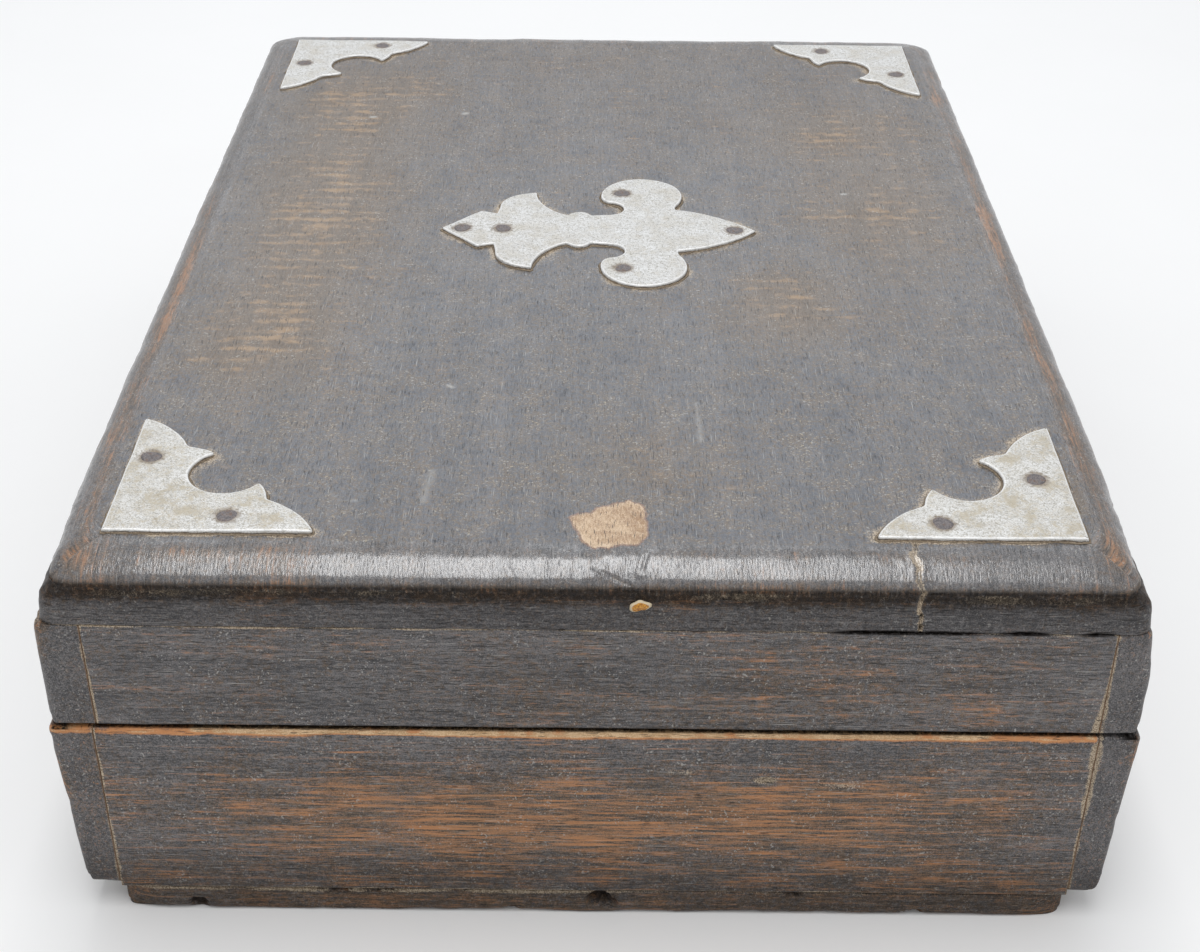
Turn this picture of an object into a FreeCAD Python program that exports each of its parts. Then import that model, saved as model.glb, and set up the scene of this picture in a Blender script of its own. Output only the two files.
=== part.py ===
import FreeCAD, Part
import math
import os
import re
import Sketcher

# A small hinged storage box: long axis along Y, hinges on the +X side, catch on the -X side,
# origin at the middle of the underside. All sizes are in millimetres.

Vector = FreeCAD.Vector
Rotation = FreeCAD.Rotation

sizes = {
    # Base: long boards run through, short boards and the bottom sit between them
    "box_length": 266.0,
    "base_width": 196.6,
    "base_board_height": 40.2,
    "base_board_thickness": 7.8,
    "base_foot_inset": 1.8,
    "base_arris_radius": 1.2,
    "bottom_thickness": 5.8,
    "bottom_field_rise": 3.0,
    "bottom_arris_radius": 1.4,
    # Lid: four rails under a thick panel with a rounded nose
    "parting_gap": 0.4,
    "lid_front_setback": 1.0,
    "lid_back_setback": 0.4,
    "lid_end_setback": 0.4,
    "lid_rail_height": 22.3,
    "lid_rail_thickness": 7.6,
    "lid_arris_radius": 1.0,
    "panel_front_setback": 0.5,
    "panel_back_setback": 2.0,
    "panel_band_height": 6.5,
    "panel_quirk_height": 0.5,
    "panel_quirk_depth": 0.6,
    "panel_nose_height": 5.1,
    "panel_nose_width": 9.5,
    "panel_corner_radius": 4.5,
    # Metal mounts on the lid
    "mount_leg": 37.0,
    "mount_side_inset": 10.3,
    "mount_end_inset": 10.8,
    "mount_thickness": 0.8,
    "centre_mount_length": 72.0,
    # Nails that hold the mounts
    "nail_hole_radius": 2.0,
    "nail_recess": 0.1,
    "nail_length": 9.0,
    "nail_shank_radius": 0.75,
    # Brads that hold the bottom
    "brad_spacing": 62.0,
    "brad_head_radius": 1.3,
    "brad_head_height": 0.6,
    "brad_recess": 0.15,
    "brad_shank_radius": 0.6,
    "brad_length": 15.0,
    # Butt hinges
    "hinge_spacing": 150.0,
    "hinge_pin_offset": 2.0,
    "hinge_pin_radius": 0.9,
    "hinge_barrel_radius": 1.8,
    "hinge_leaf_length": 25.0,
    "hinge_leaf_width": 6.0,
    "hinge_leaf_thickness": 0.9,
    "hinge_knuckle_gap": 0.3,
    "screw_spacing": 14.0,
    "screw_edge_distance": 3.2,
    "screw_head_radius": 1.75,
    "screw_shank_radius": 0.85,
    "screw_length": 8.0,
    # Hook catch
    "hook_pivot_drop": 12.2,
    "hook_reach": 20.0,
    "hook_thickness": 1.2,
    "hook_standoff": 0.4,
    "hook_eye_radius": 3.3,
    "hook_arm_width": 3.2,
    "hook_head_radius": 4.3,
    "hook_head_shift": 0.9,
    "hook_lift": 0.8,
    "pivot_shank_radius": 1.0,
    "pivot_collar_radius": 2.4,
    "pivot_seat_depth": 0.35,
    "stud_radius": 1.3,
    "button_radius": 2.2,
    "button_height": 0.9,
    "catch_screw_length": 4.5,
    # Fits
    "free_clearance": 0.3,
    "fit_clearance": 0.05,
    "seat_clearance": 0.1,
    "cut_overrun": 1.0,
}

doc = FreeCAD.newDocument("storage_box")
sheet = doc.addObject("Spreadsheet::Sheet", "Sizes")
for row, (size_name, size_value) in enumerate(sizes.items(), start=1):
    sheet.set(f"A{row}", size_name)
    sheet.set(f"B{row}", str(size_value))
    sheet.setAlias(f"B{row}", size_name)
doc.recompute()

# Places worked out from the sizes
inner_x = "(base_width / 2 - base_board_thickness)"
half_width = "(base_width / 2)"
half_length = "(box_length / 2)"
base_top = "(bottom_thickness + base_board_height)"
lid_bottom = f"({base_top} + parting_gap)"
lid_front = "(lid_front_setback - base_width / 2)"
lid_back = "(base_width / 2 - lid_back_setback)"
lid_half_length = "(box_length / 2 - lid_end_setback)"
rail_top = f"({lid_bottom} + lid_rail_height)"
nose_bottom = f"({rail_top} + panel_band_height + panel_quirk_height)"
panel_top = f"({nose_bottom} + panel_nose_height)"
panel_front = f"({lid_front} + panel_front_setback)"
panel_back = f"({lid_back} - panel_back_setback)"
mount_front = f"({panel_front} + mount_side_inset)"
mount_back = f"({panel_back} - mount_side_inset)"
mount_end = f"({lid_half_length} - mount_end_inset)"
pin_x = "(base_width / 2 + hinge_pin_offset)"
pin_z = f"({base_top} + parting_gap / 2)"
hook_face = "(base_width / 2 + hook_standoff)"
hook_outside = f"({hook_face} + hook_thickness)"
pivot_z = f"({base_top} - hook_pivot_drop)"
stud_z = f"({pivot_z} + hook_reach)"

upward = Rotation()
downward = Rotation(Vector(1, 0, 0), 180)
along_y = Rotation(Vector(1, 0, 0), -90)
frontward = Rotation(Vector(0, 1, 0), -90)
quarter_bend = math.tan(math.radians(22.5))
touch = 1e-6


def value_of(expression):
    """The number that an expression of size names gives."""
    return float(sheet.evalExpression(expression))


def on_sheet(expression):
    """The same expression with each size name pointed at the sheet."""
    return re.sub(r"[a-z]+(?:_[a-z]+)+", lambda word: "Sizes." + word.group(), expression)


def bind(item, **expressions):
    """Tie properties of an object to expressions of size names."""
    for name, expression in expressions.items():
        item.setExpression(name, on_sheet(expression))
    return item


def place(item, x, y, z, turn=upward):
    """Put an object at a bound place, turned as given."""
    item.Placement = FreeCAD.Placement(Vector(), turn)
    for axis, expression in (("x", x), ("y", y), ("z", z)):
        item.setExpression(f"Placement.Base.{axis}", on_sheet(expression))
    return item


def block(x_range, y_range, z_range):
    """A rectangular block between pairs of bound places."""
    item = doc.addObject("Part::Box", "block")
    bind(
        item,
        Length=f"{x_range[1]} - ({x_range[0]})",
        Width=f"{y_range[1]} - ({y_range[0]})",
        Height=f"{z_range[1]} - ({z_range[0]})",
    )
    return place(item, x_range[0], y_range[0], z_range[0])


def rod(radius, length, x, y, z, turn=upward):
    """A cylinder that starts at a bound place and runs along its turned axis."""
    item = bind(doc.addObject("Part::Cylinder", "rod"), Radius=radius, Height=length)
    return place(item, x, y, z, turn)


def cone(start_radius, end_radius, length, x, y, z, turn=upward):
    """A truncated cone that starts at a bound place and runs along its turned axis."""
    item = doc.addObject("Part::Cone", "cone")
    bind(item, Radius1=start_radius, Radius2=end_radius, Height=length)
    return place(item, x, y, z, turn)


def fused(items):
    """One solid from overlapping solids."""
    item = doc.addObject("Part::MultiFuse", "fused")
    item.Shapes = items
    item.Refine = True
    return item


def grouped(items):
    """Separate solids kept together."""
    item = doc.addObject("Part::Compound", "group")
    item.Links = items
    return item


def without(blank, tools):
    """A blank with the tools cut out of it."""
    item = doc.addObject("Part::Cut", "drilled")
    item.Base = blank
    item.Tool = grouped(tools)
    return item


def new_body(name):
    """An empty body whose Label is the name of its piece."""
    body = doc.addObject("PartDesign::Body", name + "_body")
    body.Label = name + " blank"
    return body


def new_sketch(body, role, height="0"):
    """A sketch on one of the body's own origin planes, lifted along its normal."""
    sketch = body.newObject("Sketcher::SketchObject", "sketch")
    plane = next(item for item in body.Origin.OriginFeatures if item.Role == role)
    sketch.AttachmentSupport = [(plane, "")]
    sketch.MapMode = "FlatFace"
    sketch.setExpression("AttachmentOffset.Base.z", on_sheet(height))
    return sketch


def bent_edge(start, end, bend):
    """An arc from start to end; bend is the tangent of a quarter of its angle."""
    chord = end - start
    across = Vector(-chord.y, chord.x, 0)
    centre = (start + end) / 2 + across * ((1 - bend * bend) / (4 * bend))
    circle = Part.Circle(centre, Vector(0, 0, 1), (start - centre).Length)
    first, last = (start, end) if bend > 0 else (end, start)
    return Part.ArcOfCircle(circle, circle.parameter(first), circle.parameter(last))


def trace(sketch, corners):
    """A closed outline through corners (x, y, bend to the next corner), each one bound."""
    count = len(corners)
    points = [Vector(value_of(x), value_of(y), 0) for x, y, bend in corners]
    for index, (x, y, bend) in enumerate(corners):
        start, end = points[index], points[(index + 1) % count]
        edge = bent_edge(start, end, bend) if bend else Part.LineSegment(start, end)
        sketch.addGeometry(edge, False)
    first_end = [2 if corner[2] < 0 else 1 for corner in corners]
    for index, (x, y, bend) in enumerate(corners):
        after = (index + 1) % count
        join = Sketcher.Constraint("Coincident", index, 3 - first_end[index], after, first_end[after])
        sketch.addConstraint(join)
        for kind, expression in (("DistanceX", x), ("DistanceY", y)):
            rule = Sketcher.Constraint(kind, -1, 1, index, first_end[index], value_of(expression))
            number = sketch.addConstraint(rule)
            sketch.setExpression(f"Constraints[{number}]", on_sheet(expression))
        if bend:
            next_x, next_y = corners[after][:2]
            chord = f"sqrt(({next_x} - ({x}))^2 + ({next_y} - ({y}))^2)"
            radius = f"{chord} * {(1 + bend * bend) / (4 * abs(bend))}"
            number = sketch.addConstraint(Sketcher.Constraint("Radius", index, value_of(radius)))
            sketch.setExpression(f"Constraints[{number}]", on_sheet(radius))
    return sketch


def rounded_rectangle(sketch, low, high, corner_radius):
    """A rectangle between two bound corners, rounded at all four."""
    corners = []
    for start, x_sign, y_sign, ahead in (
        ((low[0], low[1]), 1, 1, "x"),
        ((high[0], low[1]), -1, 1, "y"),
        ((high[0], high[1]), -1, -1, "x"),
        ((low[0], high[1]), 1, -1, "y"),
    ):
        x, y = start
        beside_x = (f"{x} + {x_sign} * ({corner_radius})", y)
        beside_y = (x, f"{y} + {y_sign} * ({corner_radius})")
        before, after = (beside_y, beside_x) if ahead == "x" else (beside_x, beside_y)
        corners.append((*before, quarter_bend))
        corners.append((*after, 0))
    return trace(sketch, corners)


def pad(body, sketch, length, midplane=False):
    """A pad of bound length, through both sides of its sketch where midplane is set."""
    feature = body.newObject("PartDesign::Pad", "pad")
    feature.Profile = sketch
    bind(feature, Length=length)
    feature.Midplane = midplane
    doc.recompute()
    return feature


def rounded(body, radius, is_chosen):
    """Round the edges of a body's tip that the test picks out."""
    tip = body.Tip
    names = [f"Edge{n}" for n, edge in enumerate(tip.Shape.Edges, start=1) if is_chosen(edge)]
    feature = body.newObject("PartDesign::Fillet", "rounding")
    feature.Base = (tip, names)
    bind(feature, Radius=radius)
    doc.recompute()
    return feature


def fastener(x, y, z, turn, head_radius, neck_radius, head_height, shank_radius, length):
    """A countersunk head on a plain shank, from its head's face along the turned axis."""
    head = cone(head_radius, neck_radius, head_height, x, y, z, turn)
    shank = rod(shank_radius, length, x, y, z, turn)
    return fused([head, shank])


finished = []


def finish(item, name):
    """Name a finished piece and keep it for the export."""
    item.Label = name
    finished.append(item)
    return item


# Base boards
def long_board(name, side):
    """A full-length board of the base, thinner towards its foot; side is -1 front, +1 back."""
    body = new_body(name)
    sketch = new_sketch(body, "XZ_Plane")
    foot_x = f"{side} * ({half_width} - base_foot_inset)"
    corners = [
        (f"{side} * {inner_x}", "bottom_thickness", 0),
        (foot_x, "bottom_thickness", 0),
        (f"{side} * {half_width}", base_top, 0),
        (f"{side} * {inner_x}", base_top, 0),
    ]
    trace(sketch, corners)
    pad(body, sketch, "box_length", midplane=True)
    outside = value_of(f"{half_width} - base_foot_inset") - touch
    end = value_of(half_length) - touch
    foot = value_of("bottom_thickness") + touch

    def is_outer(edge):
        middle = edge.CenterOfMass
        return abs(middle.x) > outside and (abs(middle.y) > end or middle.z < foot)

    rounded(body, "base_arris_radius", is_outer)
    return body


def short_board(side):
    """A board of the base that fits between the long ones; side is -1 near, +1 far."""
    inner_y = f"({half_length} - base_board_thickness)"
    y_range = (f"-{half_length}", f"-{inner_y}") if side < 0 else (inner_y, half_length)
    return block((f"-{inner_x}", inner_x), y_range, ("bottom_thickness", base_top))


brad_y = f"({half_length} - base_board_thickness / 2)"
brad_places = [
    (f"{column} * brad_spacing", f"{side} * {brad_y}")
    for side in (-1, 1)
    for column in (-1, 0, 1)
]


def brad(x, y, clearance):
    """A flat-headed brad driven up through the bottom, or the hole for it."""
    start = f"brad_recess - {clearance}"
    head = rod(f"brad_head_radius + {clearance}", f"brad_head_height + {clearance}", x, y, start)
    shank = rod(f"brad_shank_radius + {clearance}", f"brad_length + {clearance}", x, y, start)
    return fused([head, shank])


def bottom_panel():
    """The bottom: its rim lies under the short boards and its field rises between all four."""
    body = new_body("bottom_panel")
    rim = new_sketch(body, "XY_Plane")
    rounded_rectangle(rim, (f"-{inner_x}", f"-{half_length}"), (inner_x, half_length), "bottom_arris_radius")
    pad(body, rim, "bottom_thickness")
    rounded(body, "bottom_arris_radius / 2", lambda edge: edge.CenterOfMass.z < touch)
    field = new_sketch(body, "XY_Plane", "bottom_thickness")
    field_y = f"({half_length} - base_board_thickness)"
    corners = [
        (f"-{inner_x}", f"-{field_y}", 0),
        (inner_x, f"-{field_y}", 0),
        (inner_x, field_y, 0),
        (f"-{inner_x}", field_y, 0),
    ]
    pad(body, trace(field, corners), "bottom_field_rise")
    head_wells = [
        rod("brad_head_radius + seat_clearance", "brad_recess + cut_overrun", x, y, "-cut_overrun")
        for x, y in brad_places
    ]
    holes = [brad(x, y, "fit_clearance") for x, y in brad_places]
    return without(body, head_wells + holes)


finish(bottom_panel(), "bottom_panel")
for board_name, end_side in (("base_near_board", -1), ("base_far_board", 1)):
    board_brads = [brad(x, y, "fit_clearance") for x, y in brad_places if y.startswith(f"{end_side} ")]
    finish(without(short_board(end_side), board_brads), board_name)
finish(grouped([brad(x, y, "0") for x, y in brad_places]), "bottom_brads")


# Hinges: each leaf is let into the edge of its board, with its knuckles behind the box
hinge_places = {"near": "(-hinge_spacing / 2)", "far": "(hinge_spacing / 2)"}
knuckle_length = "((hinge_leaf_length - 2 * hinge_knuckle_gap) / 3)"
screw_x = f"({half_width} - screw_edge_distance)"


def screw_places(hinge_y):
    """The two screws of a leaf."""
    return [(screw_x, f"{hinge_y} + {side} * screw_spacing / 2") for side in (-1, 1)]


def leaf_screw(x, y, is_lid, clearance):
    """A countersunk screw through a leaf into the wood, or the hole for it."""
    z = f"{lid_bottom} + seat_clearance" if is_lid else f"{base_top} - seat_clearance"
    turn = upward if is_lid else downward
    head_radius = f"screw_head_radius + {clearance}"
    shank_radius = f"screw_shank_radius + {clearance}"
    length = f"screw_length + {clearance}"
    return fastener(x, y, z, turn, head_radius, shank_radius, "hinge_leaf_thickness", shank_radius, length)


def leaf_mortise(hinge_y, is_lid):
    """The seat of a leaf in the edge of its board."""
    clear = "seat_clearance"
    y_range = (f"{hinge_y} - hinge_leaf_length / 2 - {clear}", f"{hinge_y} + hinge_leaf_length / 2 + {clear}")
    x_range = (f"{half_width} - hinge_leaf_width - {clear}", f"{half_width} + cut_overrun")
    if is_lid:
        z_range = (f"{lid_bottom} - cut_overrun", f"{lid_bottom} + hinge_leaf_thickness")
    else:
        z_range = (f"{base_top} - hinge_leaf_thickness", f"{base_top} + cut_overrun")
    return block(x_range, y_range, z_range)


def hinge_leaf(hinge_y, is_lid):
    """A leaf with its knuckles: two outer ones on the base leaf, the middle one on the lid leaf."""
    outer_x = lid_back if is_lid else half_width
    inner = f"{half_width} - hinge_leaf_width"
    z_start = lid_bottom if is_lid else f"{base_top} - hinge_leaf_thickness"
    z_range = (z_start, f"{z_start} + hinge_leaf_thickness")
    leaf_start = f"{hinge_y} - hinge_leaf_length / 2"
    plate = block((inner, outer_x), (leaf_start, f"{hinge_y} + hinge_leaf_length / 2"), z_range)
    pieces = [plate]
    for knuckle in ((1,) if is_lid else (0, 2)):
        start = f"{leaf_start} + {knuckle} * ({knuckle_length} + hinge_knuckle_gap)"
        pieces.append(block((inner, pin_x), (start, f"{start} + {knuckle_length}"), z_range))
        pieces.append(rod("hinge_barrel_radius", knuckle_length, pin_x, start, pin_z, along_y))
    bore_start = f"{leaf_start} - cut_overrun"
    bore_length = "hinge_leaf_length + 2 * cut_overrun"
    bore = rod("hinge_pin_radius + fit_clearance", bore_length, pin_x, bore_start, pin_z, along_y)
    holes = [leaf_screw(x, y, is_lid, "fit_clearance") for x, y in screw_places(hinge_y)]
    return without(fused(pieces), [bore] + holes)


for hinge_name, hinge_y in hinge_places.items():
    finish(hinge_leaf(hinge_y, False), f"{hinge_name}_hinge_base_leaf")
    finish(hinge_leaf(hinge_y, True), f"{hinge_name}_hinge_lid_leaf")
    pin_start = f"{hinge_y} - hinge_leaf_length / 2"
    pin = rod("hinge_pin_radius", "hinge_leaf_length", pin_x, pin_start, pin_z, along_y)
    finish(pin, f"{hinge_name}_hinge_pin")


def all_leaf_screws(is_lid, clearance):
    """The screws of both hinges in the lid or the base, or their holes."""
    places = [spot for hinge_y in hinge_places.values() for spot in screw_places(hinge_y)]
    return [leaf_screw(x, y, is_lid, clearance) for x, y in places]


finish(grouped(all_leaf_screws(False, "0")), "hinge_base_screws")
finish(grouped(all_leaf_screws(True, "0")), "hinge_lid_screws")
base_mortises = [leaf_mortise(hinge_y, False) for hinge_y in hinge_places.values()]
back_board_cuts = base_mortises + all_leaf_screws(False, "fit_clearance")
finish(without(long_board("base_back_board", 1), back_board_cuts), "base_back_board")


# Catch: a flat hook hangs on the front board and swings up behind the button of a stud
arm_end_share = 0.8
button_face_share = 2 / 3
pivot_seat = f"({half_width} - base_foot_inset * hook_pivot_drop / base_board_height - pivot_seat_depth)"


def pivot_screw():
    """The hook's pivot: a screw with a collar that stands the hook off the board."""
    shank_start = f"catch_screw_length - {pivot_seat}"
    shank_length = f"catch_screw_length + {hook_outside} - {pivot_seat} + button_height / 2"
    shank = rod("pivot_shank_radius", shank_length, shank_start, "0", pivot_z, frontward)
    collar_length = f"{hook_face} - seat_clearance - {pivot_seat}"
    collar = rod("pivot_collar_radius", collar_length, f"-{pivot_seat}", "0", pivot_z, frontward)
    head_x = f"-({hook_outside} + seat_clearance)"
    face_radius = f"button_radius * {button_face_share}"
    head = cone("button_radius", face_radius, "button_height", head_x, "0", pivot_z, frontward)
    return fused([shank, collar, head])


def stud():
    """The stud on the lid: a screw, a round neck for the hook and a button."""
    neck_end = f"({hook_outside} + free_clearance)"
    screw_start = f"{lid_front} + catch_screw_length"
    screw = rod("pivot_shank_radius", "catch_screw_length", screw_start, "0", stud_z, frontward)
    neck_length = f"{neck_end} + {lid_front} + button_height / 2"
    neck = rod("stud_radius", neck_length, lid_front, "0", stud_z, frontward)
    face_radius = f"button_radius * {button_face_share}"
    button = cone("button_radius", face_radius, "button_height", f"-{neck_end}", "0", stud_z, frontward)
    return fused([screw, neck, button])


def hook():
    """The hook as it hangs: a round eye, a straight arm and a round head with a slot."""
    body = new_body("hook")
    sketch = new_sketch(body, "YZ_Plane")
    half_arm = "hook_arm_width / 2"
    arm_top = f"{pivot_z} - hook_eye_radius * {arm_end_share}"
    arm_foot = f"{pivot_z} - hook_reach + hook_head_radius * {arm_end_share}"
    corners = [
        (f"-{half_arm}", arm_top, 0),
        (f"-{half_arm} - hook_head_shift / 2", arm_foot, 0),
        (f"{half_arm} - hook_head_shift / 2", arm_foot, 0),
        (half_arm, arm_top, 0),
    ]
    pad(body, trace(sketch, corners), "hook_thickness")
    place(body, f"-{hook_outside}", "0", "0")
    eye = rod("hook_eye_radius", "hook_thickness", f"-{hook_face}", "0", pivot_z, frontward)
    head_z = f"{pivot_z} - hook_reach"
    head = rod("hook_head_radius", "hook_thickness", f"-{hook_face}", "-hook_head_shift", head_z, frontward)
    slot_start = "-(stud_radius + free_clearance)"
    slot = block(
        (f"-{hook_outside} - cut_overrun", f"-{hook_face} + cut_overrun"),
        (slot_start, "hook_head_radius + cut_overrun"),
        (f"{head_z} - stud_radius - free_clearance", f"{head_z} + stud_radius + hook_lift"),
    )
    bore_start = f"-{hook_face} + cut_overrun"
    bore_length = "hook_thickness + 2 * cut_overrun"
    bore = rod("pivot_shank_radius + fit_clearance", bore_length, bore_start, "0", pivot_z, frontward)
    return without(fused([body, eye, head]), [slot, bore])


finish(hook(), "hook")
finish(pivot_screw(), "hook_pivot_screw")
finish(stud(), "hook_stud")
seat_well = rod("pivot_collar_radius + seat_clearance", f"{half_width} - {pivot_seat} + cut_overrun",
                f"-{pivot_seat}", "0", pivot_z, frontward)
pivot_hole = rod("pivot_shank_radius + fit_clearance", "catch_screw_length + cut_overrun",
                 f"-({pivot_seat} - catch_screw_length - fit_clearance)", "0", pivot_z, frontward)
finish(without(long_board("base_front_board", -1), [seat_well, pivot_hole]), "base_front_board")


# Lid rails
def long_rail(name, outer_x, side):
    """A full-length rail of the lid with eased corners; side is -1 front, +1 back."""
    body = new_body(name)
    sketch = new_sketch(body, "XZ_Plane")
    inner = f"{outer_x} - {side} * lid_rail_thickness"
    corners = [
        (inner, lid_bottom, 0),
        (outer_x, lid_bottom, 0),
        (outer_x, rail_top, 0),
        (inner, rail_top, 0),
    ]
    trace(sketch, corners)
    pad(body, sketch, f"2 * {lid_half_length}", midplane=True)
    outside = abs(value_of(outer_x)) - touch
    end = value_of(lid_half_length) - touch

    def is_outer_end(edge):
        middle = edge.CenterOfMass
        return abs(middle.x) > outside and abs(middle.y) > end

    rounded(body, "lid_arris_radius", is_outer_end)
    return body


def short_rail(side):
    """A rail of the lid that fits between the long ones; side is -1 near, +1 far."""
    x_range = (f"{lid_front} + lid_rail_thickness", f"{lid_back} - lid_rail_thickness")
    inner_y = f"({lid_half_length} - lid_rail_thickness)"
    y_range = (f"-{lid_half_length}", f"-{inner_y}") if side < 0 else (inner_y, lid_half_length)
    return block(x_range, y_range, (lid_bottom, rail_top))


stud_hole = rod("pivot_shank_radius + fit_clearance", "catch_screw_length + cut_overrun",
                f"{lid_front} + catch_screw_length + fit_clearance", "0", stud_z, frontward)
finish(without(long_rail("lid_front_rail", lid_front, -1), [stud_hole]), "lid_front_rail")
lid_mortises = [leaf_mortise(hinge_y, True) for hinge_y in hinge_places.values()]
back_rail_cuts = lid_mortises + all_leaf_screws(True, "fit_clearance")
finish(without(long_rail("lid_back_rail", lid_back, 1), back_rail_cuts), "lid_back_rail")
finish(short_rail(-1), "lid_near_rail")
finish(short_rail(1), "lid_far_rail")


# Metal mounts
corner_outline_shares = [
    (0, 0, 0),
    (1, 0, 0.2),
    (0.736, 0.268, 0.16),
    (0.677, 0.416, -1.34),
    (0.416, 0.677, 0.16),
    (0.268, 0.736, 0.2),
    (0, 1, 0),
]
corner_nail_shares = [(0.626, 0.129), (0.129, 0.626)]
corners_of_lid = [
    ("near_left", mount_front, f"-{mount_end}"),
    ("near_right", mount_back, f"-{mount_end}"),
    ("far_right", mount_back, mount_end),
    ("far_left", mount_front, mount_end),
]
centre_half_outline_shares = [
    (0.119, 0.126, 0),
    (0.170, 0.107, 0),
    (0.178, 0.160, -0.35),
    (0.258, 0.265, 0),
    (0.294, 0.274, 0.28),
    (0.402, 0.100, -0.75),
    (0.473, 0.098, 0),
    (0.540, 0.105, 0.9),
    (0.534, 0.204, -0.25),
    (0.508, 0.240, -1.42),
    (0.752, 0.182, 0.1),
    (0.748, 0.150, -0.16),
]
centre_nail_shares = [(0.065, 0), (0.194, 0), (0.576, 0.273), (0.576, -0.273), (0.934, 0)]
nail_neck_radius = "(nail_hole_radius - mount_thickness - fit_clearance)"
nail_head_radius = "(nail_hole_radius - nail_recess - fit_clearance)"


def turned(x, y, quarter_turns):
    """A flat place turned about the origin by quarter turns."""
    for turn_number in range(quarter_turns):
        x, y = -y, x
    return x, y


def nail(x, y):
    """A mount's nail: a conical head sunk in the plate and a plain shank."""
    head_height = "mount_thickness - nail_recess"
    z = f"{panel_top} + {head_height}"
    return fastener(x, y, z, downward, nail_head_radius, nail_neck_radius, head_height,
                    "nail_shank_radius", "nail_length")


def nail_hole(x, y):
    """The hole of a nail's shank in the panel."""
    depth = "nail_length + cut_overrun"
    return rod("nail_shank_radius + fit_clearance", depth, x, y, f"{panel_top} + cut_overrun", downward)


def mount_plate(name, outline, nail_spots):
    """A flat plate with a countersunk hole for each nail, lying in its own flat frame."""
    body = new_body(name)
    pad(body, trace(new_sketch(body, "XY_Plane"), outline), "mount_thickness")
    foot_radius = "nail_hole_radius - mount_thickness"
    holes = [cone(foot_radius, "nail_hole_radius", "mount_thickness", x, y, "0") for x, y in nail_spots]
    return without(body, holes)


corner_nail_places = []
for quarters, (corner_name, corner_x, corner_y) in enumerate(corners_of_lid):
    corner_outline = [(f"mount_leg * {x}", f"mount_leg * {y}", bend) for x, y, bend in corner_outline_shares]
    plate_spots = [(f"mount_leg * {x}", f"mount_leg * {y}") for x, y in corner_nail_shares]
    plate = mount_plate(f"corner_mount_{corner_name}", corner_outline, plate_spots)
    place(plate, corner_x, corner_y, panel_top, Rotation(Vector(0, 0, 1), 90 * quarters))
    finish(plate, f"corner_mount_{corner_name}")
    for share_x, share_y in corner_nail_shares:
        lid_x, lid_y = turned(share_x, share_y, quarters)
        nail_x = f"{corner_x} + mount_leg * ({lid_x})"
        corner_nail_places.append((nail_x, f"{corner_y} + mount_leg * ({lid_y})"))

far_side_bends = [bend for x, y, bend in reversed(centre_half_outline_shares)] + [0]
far_side_spots = [(1, 0)] + [(x, -y) for x, y, bend in reversed(centre_half_outline_shares)]
far_side = [(x, y, bend) for (x, y), bend in zip(far_side_spots, far_side_bends)]
centre_outline = [
    (f"centre_mount_length * {x}", f"centre_mount_length * ({y})", bend)
    for x, y, bend in [(0, 0, 0)] + centre_half_outline_shares + far_side
]
centre_spots = [(f"centre_mount_length * {x}", f"centre_mount_length * ({y})") for x, y in centre_nail_shares]
centre_x = f"(({mount_front} + {mount_back}) / 2 - centre_mount_length / 2)"
centre_plate = mount_plate("centre_mount", centre_outline, centre_spots)
place(centre_plate, centre_x, "0", panel_top)
finish(centre_plate, "centre_mount")
centre_nail_places = [(f"{centre_x} + {x}", y) for x, y in centre_spots]
finish(grouped([nail(x, y) for x, y in corner_nail_places]), "corner_mount_nails")
finish(grouped([nail(x, y) for x, y in centre_nail_places]), "centre_mount_nails")


# Lid panel: a square band, a fine quirk and a nose that rolls over to the flat top
nose_angle_shares = (0, 0.2, 0.4, 0.6, 0.8, 0.9, 1)


def panel_sketch(body, height, inset):
    """A level outline of the panel, set in from its faces."""
    sketch = new_sketch(body, "XY_Plane", height)
    low = (f"{panel_front} + {inset}", f"{inset} - {lid_half_length}")
    high = (f"{panel_back} - ({inset})", f"{lid_half_length} - ({inset})")
    return rounded_rectangle(sketch, low, high, "panel_corner_radius")


def lid_panel():
    """The lid's thick panel with the nail holes of its mounts."""
    body = new_body("lid_panel")
    pad(body, panel_sketch(body, rail_top, "0"), "panel_band_height")
    quirk_foot = f"{rail_top} + panel_band_height"
    pad(body, panel_sketch(body, quirk_foot, "panel_quirk_depth"), "panel_quirk_height")
    levels = []
    for share in nose_angle_shares:
        angle = math.radians(90 * share)
        height = f"{nose_bottom} + panel_nose_height * {math.sin(angle)}"
        levels.append(panel_sketch(body, height, f"panel_nose_width * {1 - math.cos(angle)}"))
    nose = body.newObject("PartDesign::AdditiveLoft", "nose")
    nose.Profile = levels[0]
    nose.Sections = levels[1:]
    doc.recompute()
    holes = [nail_hole(x, y) for x, y in corner_nail_places + centre_nail_places]
    return without(body, holes)


finish(lid_panel(), "lid_panel")

doc.recompute()
for item in doc.Objects:
    if "Invalid" in item.State or "Error" in item.State:
        raise RuntimeError(f"{item.Label} failed: {item.State}")
for item in finished:
    if item.Shape.isNull() or not item.Shape.isValid():
        raise RuntimeError(f"{item.Label} has no valid shape")

os.makedirs("parts", exist_ok=True)
for item in finished:
    item.Shape.exportStep(f"parts/{item.Label}.step")
    box_of_item = item.Shape.BoundBox
    print(f"{item.Label}: {len(item.Shape.Solids)} solids, {item.Shape.Volume:.1f} mm3, "
          f"z {box_of_item.ZMin:.2f} to {box_of_item.ZMax:.2f}")
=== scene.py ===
import math

import bmesh
import bpy
import numpy as np
from mathutils import Matrix, Vector
from mathutils.geometry import delaunay_2d_cdt


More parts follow.
